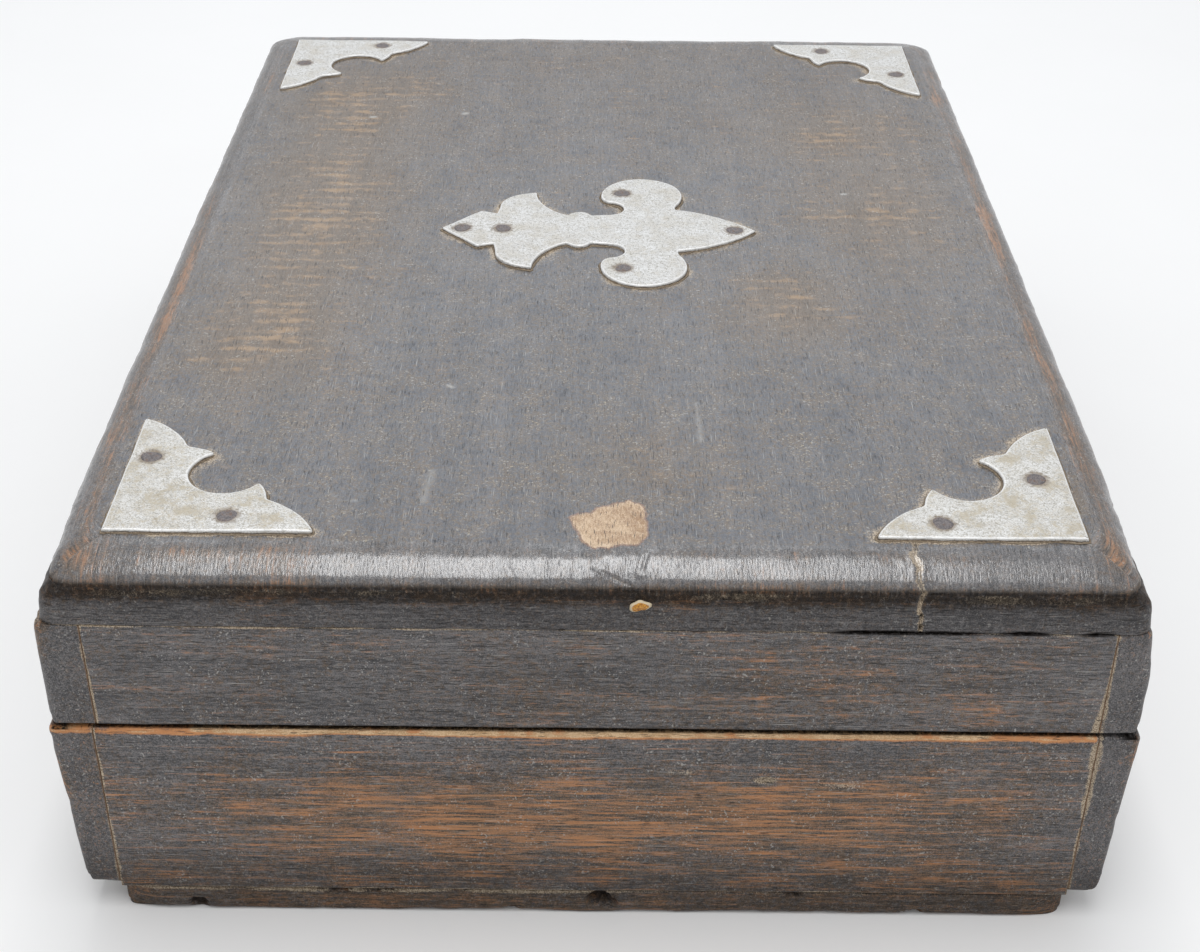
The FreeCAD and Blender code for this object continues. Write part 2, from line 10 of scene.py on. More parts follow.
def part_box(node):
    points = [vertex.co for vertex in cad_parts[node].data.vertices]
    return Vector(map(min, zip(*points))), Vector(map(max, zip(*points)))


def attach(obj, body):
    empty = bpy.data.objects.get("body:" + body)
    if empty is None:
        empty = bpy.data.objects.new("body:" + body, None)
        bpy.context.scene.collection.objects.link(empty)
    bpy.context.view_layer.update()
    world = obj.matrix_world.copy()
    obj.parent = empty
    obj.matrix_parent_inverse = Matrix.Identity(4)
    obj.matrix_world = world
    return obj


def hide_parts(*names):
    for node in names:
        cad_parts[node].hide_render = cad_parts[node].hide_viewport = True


# A small dark-stained storage box with pierced metal mounts on its lid. Long axis along Y, hinges on
# the +X side, catch on the -X side, origin at the middle of the underside. Shapes are worked out in
# millimetres in the row frame and turned into metres when a mesh is made.

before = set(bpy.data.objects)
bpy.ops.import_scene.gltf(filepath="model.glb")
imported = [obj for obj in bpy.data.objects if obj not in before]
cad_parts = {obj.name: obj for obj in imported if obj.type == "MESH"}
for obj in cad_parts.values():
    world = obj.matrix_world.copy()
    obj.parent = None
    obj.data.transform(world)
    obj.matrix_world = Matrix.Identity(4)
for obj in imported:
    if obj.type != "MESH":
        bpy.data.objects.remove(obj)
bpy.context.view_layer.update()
MM = 0.001
X, Y, Z = 0, 1, 2
# Named values at the points of each wooden piece, beside its grain
POINT_VALUES = ("worn", "raw", "dust", "dark", "polish", "inside")

CAMERA_PLACE = (-0.00032, -0.3817, 0.2645)
CAMERA_YAW, CAMERA_PITCH, CAMERA_ROLL = 0.12, 33.32, -0.64
CAMERA_LENS, CAMERA_SENSOR = 54.77, 36.0


def make_camera():
    """The camera at the photograph's place and angle."""
    yaw, pitch, roll = (math.radians(a) for a in (CAMERA_YAW, CAMERA_PITCH, CAMERA_ROLL))
    level = Vector((math.cos(yaw), -math.sin(yaw), 0))
    ahead = Vector((math.sin(yaw) * math.cos(pitch), math.cos(yaw) * math.cos(pitch), -math.sin(pitch)))
    down = ahead.cross(level)
    right = level * math.cos(roll) + down * math.sin(roll)
    up = level * math.sin(roll) - down * math.cos(roll)
    data = bpy.data.cameras.new("camera")
    data.lens = CAMERA_LENS
    data.sensor_width = CAMERA_SENSOR
    data.clip_start = 0.01
    camera = bpy.data.objects.new("camera", data)
    turn = Matrix((right, up, -ahead)).transposed().to_4x4()
    camera.matrix_world = Matrix.Translation(CAMERA_PLACE) @ turn
    bpy.context.scene.collection.objects.link(camera)
    bpy.context.scene.camera = camera


make_camera()
bpy.context.scene.view_settings.view_transform = "Standard"


# Random fields and small shape tools, all in millimetres
def field(points, size, seed):
    """A smooth random value from -1 to 1 at each point; size is a feature's size, one or three numbers."""
    spots = points / np.asarray(size, float) + np.array([13.7, 71.3, 29.1]) * (seed + 1)
    cell = np.floor(spots).astype(np.int64)
    part = spots - cell
    part = part * part * (3 - 2 * part)
    total = np.zeros(len(points))
    for corner in range(8):
        step = np.array([corner & 1, corner >> 1 & 1, corner >> 2 & 1])
        mixed = (cell + step) @ np.array([374761393, 668265263, 1103515245]) + seed * 97
        mixed = (mixed ^ (mixed >> 13)) * 1274126177
        mixed = (mixed ^ (mixed >> 16)) & 0xFFFF
        total += np.prod(np.where(step, part, 1 - part), axis=1) * (mixed / 32767.5 - 1)
    return total


def layers(points, size, seed, count=3):
    """Several fields added up, each finer and weaker than the one before."""
    size = np.asarray(size, float)
    return sum(field(points, size / 2**octave, seed + octave * 7) / 2**octave for octave in range(count))


def ease(values, low, high):
    """0 below low, 1 above high and smooth between; low may be the larger."""
    share = np.clip((values - low) / (high - low), 0, 1)
    return share * share * (3 - 2 * share)


def bell(values, width):
    """1 where the values are 0, falling smoothly on both sides."""
    return np.exp(-((values / width) ** 2))


def box_mm(node):
    """The lowest and highest corner of a CAD node, in millimetres."""
    low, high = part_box(node)
    return np.array(low) / MM, np.array(high) / MM


def grid_lines(low, high, first, step, dense=()):
    """Lines from low to high: first apart at both ends, widening to step, and finer in dense ranges."""
    lines, place = [low], low
    while place < high:
        gap = min(first + 0.32 * max(min(place - low, high - place), 0), step)
        for start, end, fine in dense:
            gap = min(gap, fine + 0.3 * max(start - place, place - end, 0))
        place += gap
        lines.append(place)
    lines = np.array(lines)
    return low + (lines - low) * (high - low) / (lines[-1] - low)


def box_surface(xs, ys, zs):
    """Points and quads over the six faces of a box with these grid lines."""
    counts = (len(xs), len(ys), len(zs))
    quads = []
    for axis in (X, Y, Z):
        a, b = (axis + 1) % 3, (axis + 2) % 3
        i, j = np.meshgrid(np.arange(counts[a] - 1), np.arange(counts[b] - 1), indexing="ij")
        for end in (0, counts[axis] - 1):
            ring = []
            for di, dj in ((0, 0), (1, 0), (1, 1), (0, 1)):
                spot = [None] * 3
                spot[axis], spot[a], spot[b] = np.full(i.shape, end), i + di, j + dj
                ring.append((spot[0] * counts[1] + spot[1]) * counts[2] + spot[2])
            faces = np.stack(ring, -1).reshape(-1, 4)
            quads.append(faces if end else faces[:, ::-1])
    kept, inverse = np.unique(np.concatenate(quads), return_inverse=True)
    spots = [xs[kept // (counts[1] * counts[2])], ys[kept // counts[2] % counts[1]], zs[kept % counts[2]]]
    return np.stack(spots, -1).astype(float), inverse.reshape(-1, 4)


def normals_of(points, faces):
    """The outward normal at each point."""
    a, b, c, d = (points[faces[:, k]] for k in range(4))
    total = np.zeros_like(points)
    for k in range(4):
        np.add.at(total, faces[:, k], np.cross(c - a, d - b))
    return total / np.maximum(np.linalg.norm(total, axis=1, keepdims=True), 1e-12)


def from_face(points, low, high, face):
    """How far each point lies in from a box's face, given as (axis, side)."""
    axis, side = face
    return high[axis] - points[:, axis] if side > 0 else points[:, axis] - low[axis]


def round_share(u, v):
    """How far to draw points in towards a round corner, from their shares of its two radii."""
    return np.where((u > 0) & (v > 0), 1 - np.maximum(u, v) / np.maximum(np.hypot(u, v), 1e-9), 0)


def soften(points, low, high, first, second, radius, wobble=0.3, seed=0):
    """Round the edge between two faces of a box, unevenly; a face is (axis, side)."""
    (a, side_a), (b, side_b) = first, second
    along = points.copy()
    along[:, [a, b]] = 0
    sizes = np.broadcast_to(np.asarray(radius, float), 2)
    grown = 1 + wobble * layers(along, 11.0, seed)
    u_size, v_size = sizes[0] * grown, sizes[1] * grown
    u = 1 - from_face(points, low, high, first) / u_size
    v = 1 - from_face(points, low, high, second) / v_size
    pull = round_share(u, v)
    points[:, a] -= side_a * u_size * u * pull
    points[:, b] -= side_b * v_size * v * pull


def along_path(spots, path):
    """Distance from each flat spot to a broken line."""
    best = np.full(len(spots), 1e9)
    for start, end in zip(path[:-1], path[1:]):
        start, end = np.array(start, float), np.array(end, float)
        run = end - start
        share = np.clip(((spots - start) @ run) / (run @ run), 0, 1)
        best = np.minimum(best, np.linalg.norm(spots - start - share[:, None] * run, axis=1))
    return best


def inside_outline(spots, outline):
    """True where a flat spot lies inside a closed outline."""
    inside = np.zeros(len(spots), bool)
    for (x0, y0), (x1, y1) in zip(outline, outline[1:] + outline[:1]):
        crosses = (y0 > spots[:, 1]) != (y1 > spots[:, 1])
        level = x0 + (spots[:, 1] - y0) * (x1 - x0) / (y1 - y0 + 1e-12)
        inside ^= crosses & (spots[:, 0] < level)
    return inside


def flat_to_solid(spots, height=0.0):
    """Flat spots as points at one height."""
    return np.column_stack([spots, np.full(len(spots), height)])


def strips(count, rings, start=0):
    """Quads between rings of count points that follow each other from a start."""
    turn = [(k, (k + 1) % count) for k in range(count)]
    return [(s + a, s + b, s + count + b, s + count + a)
            for s in range(start, start + (rings - 1) * count, count) for a, b in turn]


def new_piece(name, points, faces, material, body, slot=None, nodes=(), **values):
    """A smooth mesh from millimetre points, with named values at its points, riding on a body."""
    mesh = bpy.data.meshes.new(name)
    mesh.from_pydata((points * MM).tolist(), [], [list(map(int, face)) for face in faces])
    mesh.polygons.foreach_set("use_smooth", np.ones(len(mesh.polygons), bool))
    for key in POINT_VALUES if "grain" in values else ():
        values.setdefault(key, np.zeros(len(points)))
    for key, value in values.items():
        kind, part = ("FLOAT", "value") if value.ndim == 1 else ("FLOAT_VECTOR", "vector")
        mesh.attributes.new(key, kind, "POINT").data.foreach_set(part, value.astype(np.float32).ravel())
    mesh.materials.append(material)
    piece = bpy.data.objects.new(name, mesh)
    bpy.context.scene.collection.objects.link(piece)
    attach(piece, body)
    if nodes:
        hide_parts(*nodes)
    return piece


# Materials
class Shader:
    """A material's node tree built by short calls. Sizes are in millimetres."""

    def __init__(self, name):
        self.material = bpy.data.materials.new(name)
        self.material.use_nodes = True
        self.tree = self.material.node_tree
        self.tree.nodes.clear()
        place = self.add("ShaderNodeTexCoord").outputs["Object"]
        self.spot = self.mapped(place, Scale=(1000, 1000, 1000))

    def add(self, kind, **settings):
        node = self.tree.nodes.new(kind)
        for key, value in settings.items():
            setattr(node, key, value)
        return node

    def feed(self, socket, value):
        if isinstance(value, bpy.types.NodeSocket):
            self.tree.links.new(value, socket)
        else:
            socket.default_value = value

    def feed_colour(self, socket, value):
        self.feed(socket, value if isinstance(value, bpy.types.NodeSocket) else (*value, 1))

    def mapped(self, vector, **inputs):
        node = self.add("ShaderNodeMapping")
        self.feed(node.inputs["Vector"], vector)
        for key, value in inputs.items():
            node.inputs[key].default_value = value
        return node.outputs[0]

    def math(self, operation, a, b=0.0, c=0.0):
        node = self.add("ShaderNodeMath", operation=operation)
        for socket, value in zip(node.inputs, (a, b, c)):
            self.feed(socket, value)
        return node.outputs[0]

    def vector(self, operation, a, b):
        node = self.add("ShaderNodeVectorMath", operation=operation)
        self.feed(node.inputs[0], a)
        self.feed(node.inputs[3 if operation == "SCALE" else 1], b)
        return node.outputs["Value" if operation in ("DOT_PRODUCT", "LENGTH", "DISTANCE") else "Vector"]

    def fold(self, operation, values):
        total = values[0]
        for value in values[1:]:
            total = self.math(operation, total, value)
        return total

    def times(self, *values):
        return self.fold("MULTIPLY", values)

    def plus(self, *values):
        return self.fold("ADD", values)

    def most(self, *values):
        return self.fold("MAXIMUM", values)

    def shares(self, *pairs):
        """Values added up by their shares, as (value, share) pairs."""
        return self.plus(*(self.times(value, share) for value, share in pairs))

    def around(self, value, size):
        """A noise value turned into a signed amount, size times its distance from the middle."""
        return self.times(self.math("SUBTRACT", value, 0.5), size)

    def part(self, vector, axis):
        node = self.add("ShaderNodeSeparateXYZ")
        self.feed(node.inputs[0], vector)
        return node.outputs[axis]

    def value(self, name, output="Fac"):
        return self.add("ShaderNodeAttribute", attribute_name=name).outputs[output]

    def noise(self, vector, size, detail=3.0, roughness=0.55, twist=0.0, seed=0.0):
        scale = [1 / s for s in np.broadcast_to(np.asarray(size, float), 3)]
        node = self.add("ShaderNodeTexNoise")
        place = self.mapped(vector, Scale=scale, Location=(seed, seed * 0.7, -seed))
        self.feed(node.inputs["Vector"], place)
        given = {"Scale": 1, "Detail": detail, "Roughness": roughness, "Distortion": twist}
        for key, value in given.items():
            node.inputs[key].default_value = value
        return node.outputs["Fac"]

    def between(self, value, low, high, start=0.0, end=1.0):
        node = self.add("ShaderNodeMapRange", interpolation_type="SMOOTHSTEP")
        names = ("Value", "From Min", "From Max", "To Min", "To Max")
        for key, given in zip(names, (value, low, high, start, end)):
            self.feed(node.inputs[key], given)
        return node.outputs[0]

    def mix(self, share, a, b):
        node = self.add("ShaderNodeMix", data_type="RGBA")
        self.feed(node.inputs[0], share)
        self.feed_colour(node.inputs[6], a)
        self.feed_colour(node.inputs[7], b)
        return node.outputs[2]

    def to_line(self, start, end):
        """Distance in plan from a straight mark on the lid."""
        run = (end[0] - start[0], end[1] - start[1], 0)
        away = self.vector("MULTIPLY", self.vector("SUBTRACT", self.spot, (*start, 0)), (1, 1, 0))
        share = self.vector("DOT_PRODUCT", away, tuple(r / (run[0] ** 2 + run[1] ** 2) for r in run))
        share = self.math("MINIMUM", self.math("MAXIMUM", share, 0.0), 1.0)
        along = self.vector("SCALE", run, share)
        return self.vector("LENGTH", self.vector("SUBTRACT", away, along), (0, 0, 0))

    def bumped(self, heights):
        """A normal from (value, depth in mm) pairs."""
        normal = None
        for height, depth in heights:
            bump = self.add("ShaderNodeBump")
            bump.inputs["Distance"].default_value = depth * MM
            bump.inputs["Strength"].default_value = 1
            self.feed(bump.inputs["Height"], height)
            if normal is not None:
                self.feed(bump.inputs["Normal"], normal)
            normal = bump.outputs[0]
        return normal

    def finish(self, colour, roughness, heights, coat_heights=(), **others):
        """A Principled surface; heights and coat_heights are (value, depth in mm) pairs for its bumps."""
        surface = self.add("ShaderNodeBsdfPrincipled")
        self.feed_colour(surface.inputs["Base Color"], colour)
        self.feed(surface.inputs["Roughness"], roughness)
        for key, value in others.items():
            self.feed(surface.inputs[key.replace("_", " ")], value)
        for key, pairs in (("Normal", heights), ("Coat Normal", coat_heights)):
            if pairs:
                self.feed(surface.inputs[key], self.bumped(pairs))
        output = self.add("ShaderNodeOutputMaterial")
        self.feed(output.inputs["Surface"], surface.outputs[0])
        return self.material


COOL_DARK, COOL_MID = (0.030, 0.030, 0.034), (0.190, 0.178, 0.178)
BROWN_DARK, BROWN_MID = (0.040, 0.027, 0.018), (0.190, 0.130, 0.085)
WORN_ORANGE, WORN_BROWN, WORN_OCHRE = (0.50, 0.215, 0.080), (0.34, 0.175, 0.080), (0.44, 0.275, 0.13)
RAW_TAN, RAW_BROWN = (0.62, 0.47, 0.32), (0.28, 0.17, 0.10)
RIM_ORANGE, RIM_GOLD = (0.55, 0.24, 0.085), (0.85, 0.52, 0.21)
DUST_PALE, DUST_BROWN = (0.50, 0.41, 0.30), (0.19, 0.135, 0.085)
BARE_PALE, BARE_DARK = (0.36, 0.22, 0.125), (0.15, 0.085, 0.045)
SCRATCH, SPECK_OCHRE = (0.46, 0.45, 0.42), (0.50, 0.42, 0.28)
NEAR_BLACK = (0.010, 0.008, 0.007)
# TOP_STEEL is the top's stain with a painted cool sheen in it
TOP_STEEL, TOP_UMBER = (0.078, 0.090, 0.116), (0.150, 0.106, 0.064)
RIPPLE_PITCH = 4.1
# Pale scuffs on the lid's top: ends of each and its width
SCUFFS = [((-31.5, -111), (-30.6, -101), 1.3), ((19.3, -90), (19.0, -76), 0.9),
          ((-48.6, -108.5), (-46.4, -111.2), 0.4), ((-46.4, -111.2), (-43.2, -111.0), 0.4),
          ((52.4, -110.5), (53.1, -104.5), 0.45), ((-36, 70), (-35.4, 70.3), 1.3),
          ((-60, 67), (-59.0, 67.2), 1.1), ((58, 22), (58.6, 22.2), 1.0), ((-30, -70), (-29, -70.8), 0.8)]


def wood(name, rub=0.12, glow=0.8, shine=0.42, specks=0.5, ripple=False, scuffs=(), wax=0.0,
         rim_warmth=1.0, streak=3.0, patchy=0.9):
    """Old stained wood. Points carry grain (across, along, depth) and each of POINT_VALUES."""
    s = Shader(name)
    grain = s.value("grain", "Vector")
    worn, raw, dust, dark, polish, inside = (s.value(n) for n in POINT_VALUES)
    grit = s.noise(s.spot, 0.24, 2, 0.7, 0, 5)
    thread = s.noise(grain, (0.32, 1.5, 0.32), 2, 0.65, 0, 2)
    fibre = s.noise(grain, (0.85, 18, 0.85), 3, 0.65, 0.1, 1)
    band = s.noise(grain, (7, 150, 7), 3, 0.55, 0.2, 3)
    blotch = s.noise(s.spot, 14, 4, 0.6, 0.3, 4)
    cloud = s.noise(s.spot, 5, 3, 0.6, 0.2, 9)
    mottle = s.noise(s.spot, 0.8, 2, 0.6, 0, 15)

    # The stain, and warm wood where it has rubbed through
    share = s.between(s.shares((grit, 0.42), (thread, 0.26), (fibre, 0.20), (band, 0.12)), 0.40, 0.61)
    browned = s.between(s.plus(worn, s.around(blotch, 0.5), s.around(mottle, 1.1)), -0.05, 0.42)
    colour = s.mix(browned, s.mix(share, COOL_DARK, COOL_MID), s.mix(share, BROWN_DARK, BROWN_MID))
    fleck = s.noise(grain, (0.50, streak, 0.50), 4, 0.65, 0, 8)
    ground = s.plus(worn, rub, s.around(blotch, patchy), s.around(band, 0.5))
    shown = s.plus(ground, s.around(fleck, 1.3), s.around(fibre, 1.6), s.around(grit, 0.5))
    tint = s.mix(s.between(fleck, 0.35, 0.65), WORN_BROWN, WORN_ORANGE)
    if ripple:
        wander = s.noise(s.spot, (9, 5, 30), 2, 0.5, 0, 11)
        angle = s.plus(s.times(s.part(s.spot, Y), 2 * math.pi / RIPPLE_PITCH), s.around(wander, 5.0))
        beads = s.noise(s.spot, (3.2, 1.8, 30), 2, 0.5, 0.2, 7)
        wave = s.times(s.math("SINE", angle), 0.13)
        barred = s.plus(ground, wave, s.around(beads, 1.2), s.around(grit, 0.25), -0.04)
        on_top = s.times(s.between(polish, 0.55, 0.35), s.between(polish, 0.10, 0.25))
        # On the top the stain leans towards rubbed umber and towards steel blue, the blue being painted
        # sheen over the stain
        earth = s.between(s.shares((cloud, 0.4), (mottle, 0.6), (worn, 0.5)), 0.40, 0.62)
        colour = s.mix(s.times(on_top, 0.5), colour, s.mix(earth, TOP_STEEL, TOP_UMBER))
        tint = s.mix(on_top, tint, WORN_OCHRE)
        shown = s.shares((barred, on_top), (shown, s.math("SUBTRACT", 1.0, on_top)))
    colour = s.mix(s.times(s.between(shown, 0.25, 0.80), glow), colour, tint)

    # Pale dots, hair scratches and scuffs
    dots = s.times(s.between(s.noise(s.spot, 0.50, 1, 0.5, 0, 12), 0.64, 0.69), s.between(cloud, 0.42, 0.60))
    hairs = s.between(s.noise(grain, (0.20, 6.5, 0.20), 1, 0.5, 0, 13), 0.67, 0.71)
    pale = s.times(s.most(dots, s.times(hairs, s.between(cloud, 0.60, 0.45))), specks)
    for start, end, width in scuffs:
        rag, strength = (1.0, 0.40) if math.dist(start, end) > 2 else (0.3, 0.75)
        ragged = s.plus(s.to_line(start, end), s.around(grit, 2.4 * rag), s.around(cloud, 3.0 * rag))
        pale = s.most(pale, s.times(s.between(ragged, width, -0.6 * rag), strength))
    colour = s.mix(pale, colour, SCRATCH)
    if ripple:
        sprinkled = s.times(s.between(s.part(s.spot, Y), -30, -85), s.between(cloud, 0.44, 0.66), on_top)
        crumbs = s.between(s.noise(s.spot, 0.52, 2, 0.6, 0, 18), 0.61, 0.68)
        colour = s.mix(s.times(crumbs, sprinkled, 0.55), colour, SPECK_OCHRE)

    # Bare edges, the unstained inside, packed dust, open pores, and painted shade where points are marked
    # dark
    raw_share = s.between(s.shares((cloud, 0.3), (thread, 0.3), (grit, 0.4)), 0.42, 0.60)
    raw_tone = s.mix(0.3 * rim_warmth, s.mix(raw_share, RAW_BROWN, RAW_TAN), RIM_GOLD)
    raw_edge = s.plus(raw, s.around(grit, 0.3), s.around(cloud, 0.6))
    warm_edge = s.times(s.between(raw_edge, 0.12, 0.40), rim_warmth)
    colour = s.mix(warm_edge, colour, s.mix(raw_share, WORN_ORANGE, RIM_ORANGE))
    colour = s.mix(s.between(raw_edge, 0.45, 0.65), colour, raw_tone)
    room = s.mix(share, BARE_DARK, BARE_PALE)
    room = s.mix(s.times(s.between(blotch, 0.4, 0.7), 0.5), room, BARE_DARK)
    colour = s.mix(inside, colour, room)
    filler = s.between(s.plus(dust, s.around(grit, 0.9), s.around(cloud, 0.5)), 0.30, 0.65)
    colour = s.mix(filler, colour, s.mix(s.between(grit, 0.42, 0.58), DUST_BROWN, DUST_PALE))
    pores = s.between(s.noise(grain, (0.24, 3.2, 0.24), 1, 0.5, 0, 6), 0.655, 0.70)
    colour = s.mix(s.times(pores, 0.75), colour, NEAR_BLACK)
    # Points marked dark go near black in lumps and reflect less: mostly painted shade in gaps, cracks, cuts,
    # hollows and under the nose, and the boards' darker feet
    lumps = s.noise(s.spot, 0.9, 3, 0.7, 0, 16)
    colour = s.mix(s.times(dark, s.between(lumps, 0.46, 0.66, 1.0, 0.55)), colour, NEAR_BLACK)

    rough = s.between(s.shares((grit, 0.4), (blotch, 0.6)), 0.3, 0.7, shine - 0.08, shine + 0.10)
    rough = s.math("SUBTRACT", rough, s.times(polish, 0.14))
    rough = s.most(rough, s.times(s.most(filler, raw, inside), 0.78))
    heights = [(fibre, 0.07), (pores, -0.10), (thread, 0.05), (grit, 0.06), (s.times(lumps, dark), 0.35)]
    gleam = s.math("SUBTRACT", 0.5, s.times(dark, 0.46))
    if not wax:
        return s.finish(colour, rough, heights, Specular_IOR_Level=gleam)
    stria = s.noise(grain, (0.45, 2.2, 0.45), 2, 0.7, 0.3, 14)
    worn_through = s.between(s.shares((stria, 0.6), (cloud, 0.4)), 0.36, 0.46, 0.35, 1.0)
    return s.finish(colour, rough, heights, [(stria, 0.075), (grit, 0.012)], Specular_IOR_Level=gleam,
                    Coat_Weight=s.times(polish, wax, worn_through), Coat_Roughness=0.17, Coat_IOR=1.9)


panel_wood = wood("panel_wood", rub=0.0, glow=0.55, specks=0.45, ripple=True, scuffs=SCUFFS, wax=0.95,
                  rim_warmth=0.3)
frame_wood = wood("frame_wood", rub=0.06, glow=0.6, shine=0.44, specks=0.55)
base_wood = wood("base_wood", rub=0.08, glow=0.88, shine=0.46, specks=0.55, streak=11.0, patchy=0.55)
bottom_wood = wood("bottom_wood", rub=0.05, glow=0.5, shine=0.6, specks=0.3)


# Boards of the base and rails of the lid
def seam_dust(flat, seams, seed):
    """Dust packed along the joints in broken lines; a seam is (axis, place, width, strength)."""
    total = np.zeros(len(flat))
    for axis, place, width, strength in seams:
        wander = 0.24 * field(flat, 5.0, seed) + 0.12 * field(flat, 1.2, seed + 4)
        here = width * np.clip(1 + 0.6 * field(flat, 6.0, seed + 1), 0.3, 2)
        if axis == X and place > 0:
            here = here * (0.6 + 0.9 * ease(flat[:, Z], 24, 31) * ease(flat[:, Z], 60, 46))
        line = bell(flat[:, axis] - place - wander, here)
        total = np.maximum(total, strength * line * np.clip(0.8 + 0.6 * layers(flat, 3.0, seed + 2), 0, 1))
    return total


def hollow_at(flat, centre, size, rag, rag_size, seed, full):
    """1 in the middle of an uneven egg-shaped hollow, to the share full of its size, and 0 outside."""
    reach = np.linalg.norm((flat - np.array(centre)) / np.array(size), axis=1)
    return ease(reach + rag * layers(flat, rag_size, seed), 1.0, full)


def board(node, body, slot, material, grain, inner, rounded, seed, taper=0.0, dents=(), worn=None, seams=(),
          lift=None, lean=None, shade=0.0):
    """A worn board in the place of a CAD node; grain is the axis it runs along, inner its inward face."""
    low, high = box_mm(node)
    dense = {X: [], Y: [], Z: []}
    for centre, size, depth, way in dents:
        for axis in (X, Y, Z):
            dense[axis].append((centre[axis] - size[axis], centre[axis] + size[axis], 0.35))
    for axis, place, width, strength in seams:
        dense[axis].append((place - 0.9, place + 0.9, 0.13))
    points, faces = box_surface(*[grid_lines(low[k], high[k], 0.16, 2.6, dense[k]) for k in (X, Y, Z)])
    flat = points.copy()
    x, y, z = flat.T
    inward = inner[1] * flat[:, inner[0]]
    outward = inward.min() - inward
    shown = 1 - ease(inward, inward.max() - 0.4, inward.max())
    for number, (first, second, radius) in enumerate(rounded):
        soften(points, low, high, first, second, radius, seed=seed + number)
    if taper:
        out = points[:, X] * np.sign(taper)
        depth = (high[Z] - points[:, Z]) / (high[Z] - low[Z])
        points[:, X] -= taper * depth * ease(out, out.min() + 2, out.max())
    if lift is not None:
        points[:, Z] += lift(flat, low)
    if body == "base":
        points[:, Z] -= RIM_LOSS * ease(z, high[Z] - 5, high[Z])
    if lean:
        amount, start, end = lean
        out = -inner[1] * points[:, X]
        at_near_end = ease(z, start, end) * ease(y, -95, -126)
        points[:, X] += amount * at_near_end * ease(out, out.min() + 1, out.max())
    normals = normals_of(points, faces)
    away = np.full(len(points), 1e9)
    for first, second, radius in rounded:
        if np.max(radius) >= 1:
            gap = np.hypot(*(from_face(flat, low, high, face) for face in (first, second)))
            away = np.minimum(away, gap - 0.5 * np.max(radius))
    near_edge = np.exp(-np.maximum(away, 0))
    stretch = [5.0, 5.0, 5.0]
    stretch[grain] = 40.0
    push = 0.05 * layers(points, stretch, seed) + 0.02 * layers(points, 1.6, seed + 3, 2)
    push -= 0.35 * ease(layers(points, 2.6, seed + 5), 0.35, 1.1) * near_edge
    points += normals * (push * np.where(shown > 0.5, 1, 0.3))[:, None]

    # Points marked dark: shade is an even painted shade over the long boards' sides, and each dent gets
    # painted shade in its hollow
    dark = np.full(len(points), shade)
    for centre, size, depth, way in dents:
        hollow = hollow_at(flat, centre, size, 0.35, 1.8, seed + 11, 0.55)
        points += np.array(way) * (depth * hollow)[:, None]
        dark = np.maximum(dark, 0.3 * hollow)
    worn_value = np.clip(0.35 * near_edge * ease(layers(flat, 12, seed + 13), -0.2, 0.8), 0, 1)
    if worn:
        worn_value = np.clip(worn_value + worn(x, z), 0, 1)
    dust = seam_dust(flat, seams, seed + 17) * shown
    outer_part = ease(outward, -4.4, -2.8)
    if node == "base_near_board":
        for smear_x, smear_z, wide, tall, strength in NEAR_SMEARS:
            reach = ((x - smear_x) / wide) ** 2 + ((z - smear_z) / tall) ** 2
            dust = np.maximum(dust, strength * np.exp(-reach) * shown)
    # The near rail gets painted shade along its lower edge at the parting and in the open joint at its top,
    # where the dust gives way to it
    if node == "lid_near_rail":
        dark = np.maximum(dark, 0.9 * outer_part * ease(z, low[Z] + 0.5, low[Z] + 0.15))
        gap = open_joint(flat) * ease(z, high[Z] - 0.38, high[Z] - 0.16)
        dark, dust = np.maximum(dark, gap), dust * (1 - gap)
    raw = np.zeros(len(points))
    if body == "base":
        raw = raw_rim(flat, high[Z])
        # Painted shadow of the parting gap on the rim's top, which also stands as a stained rim, and the
        # boards darkened towards their foot
        rim = (z > high[Z] - 0.05) * ease(outward, -0.45, -0.75) * outer_part
        foot = FOOT_DARK * ease(z, low[Z] + 15, low[Z])
        dark = np.clip(dark + RIM_DARK * rim + foot * (shown > 0.5), 0, 1)
    across = [k for k in (X, Y, Z) if k != grain]
    order = flat[:, [across[0], grain, across[1]]] + seed * 31.0
    new_piece(node + "_worn", points, faces, material, body, slot, [node], grain=order, worn=worn_value,
              raw=raw, dust=dust, dark=dark, inside=1 - shown)


def open_joint(flat):
    """1 where the lid's panel has sprung a little from its near rail: the panel is lifted there and the gap
    is painted with shade.
    """
    x, run = flat[:, X], flat * [1, 0, 0]
    sprung = ease(x, 38, 44) * ease(x, 92, 86) * ease(layers(run, (6, 5, 5), 407), -0.6, 0.1)
    return np.maximum(sprung, 0.8 * ease(field(run, (2.4, 5, 5), 434), 0.35, 0.6) * ease(x, -60, -30))


def raw_rim(flat, top):
    """Bare wood where the base's rim rubs at the parting."""
    x, y, z = flat.T
    edge = top - 1.0 + 0.16 * layers(flat, (14, 14, 3), 41)
    rubbed = 1 - ease(x, 89.8, 90.6) * ease(y, -112, -124)
    strong = 0.60 + 0.40 * ease(x, -84, -48) * ease(x, 88, 50)
    level = 0.72 * strong + 0.25 * layers(flat, (2.5, 2.5, 0.5), 42)
    return rubbed * ease(z, edge - 0.22, edge + 0.22) * level


def edge_set(inner, run, ends, outer, foot, top):
    """Rounding radii of a board's edges, as (face, face, radius)."""
    outside = (inner[0], -inner[1])
    rounded = [(outside, (Z, 1), top), (outside, (Z, -1), foot)]
    rounded += [(inner, (Z, 1), SMALL), (inner, (Z, -1), SMALL)]
    for side in (-1, 1):
        rounded += [(outside, (run, side), outer), (inner, (run, side), SMALL)]
        rounded += [((run, side), (Z, 1), ends[1]), ((run, side), (Z, -1), ends[0])]
    return rounded


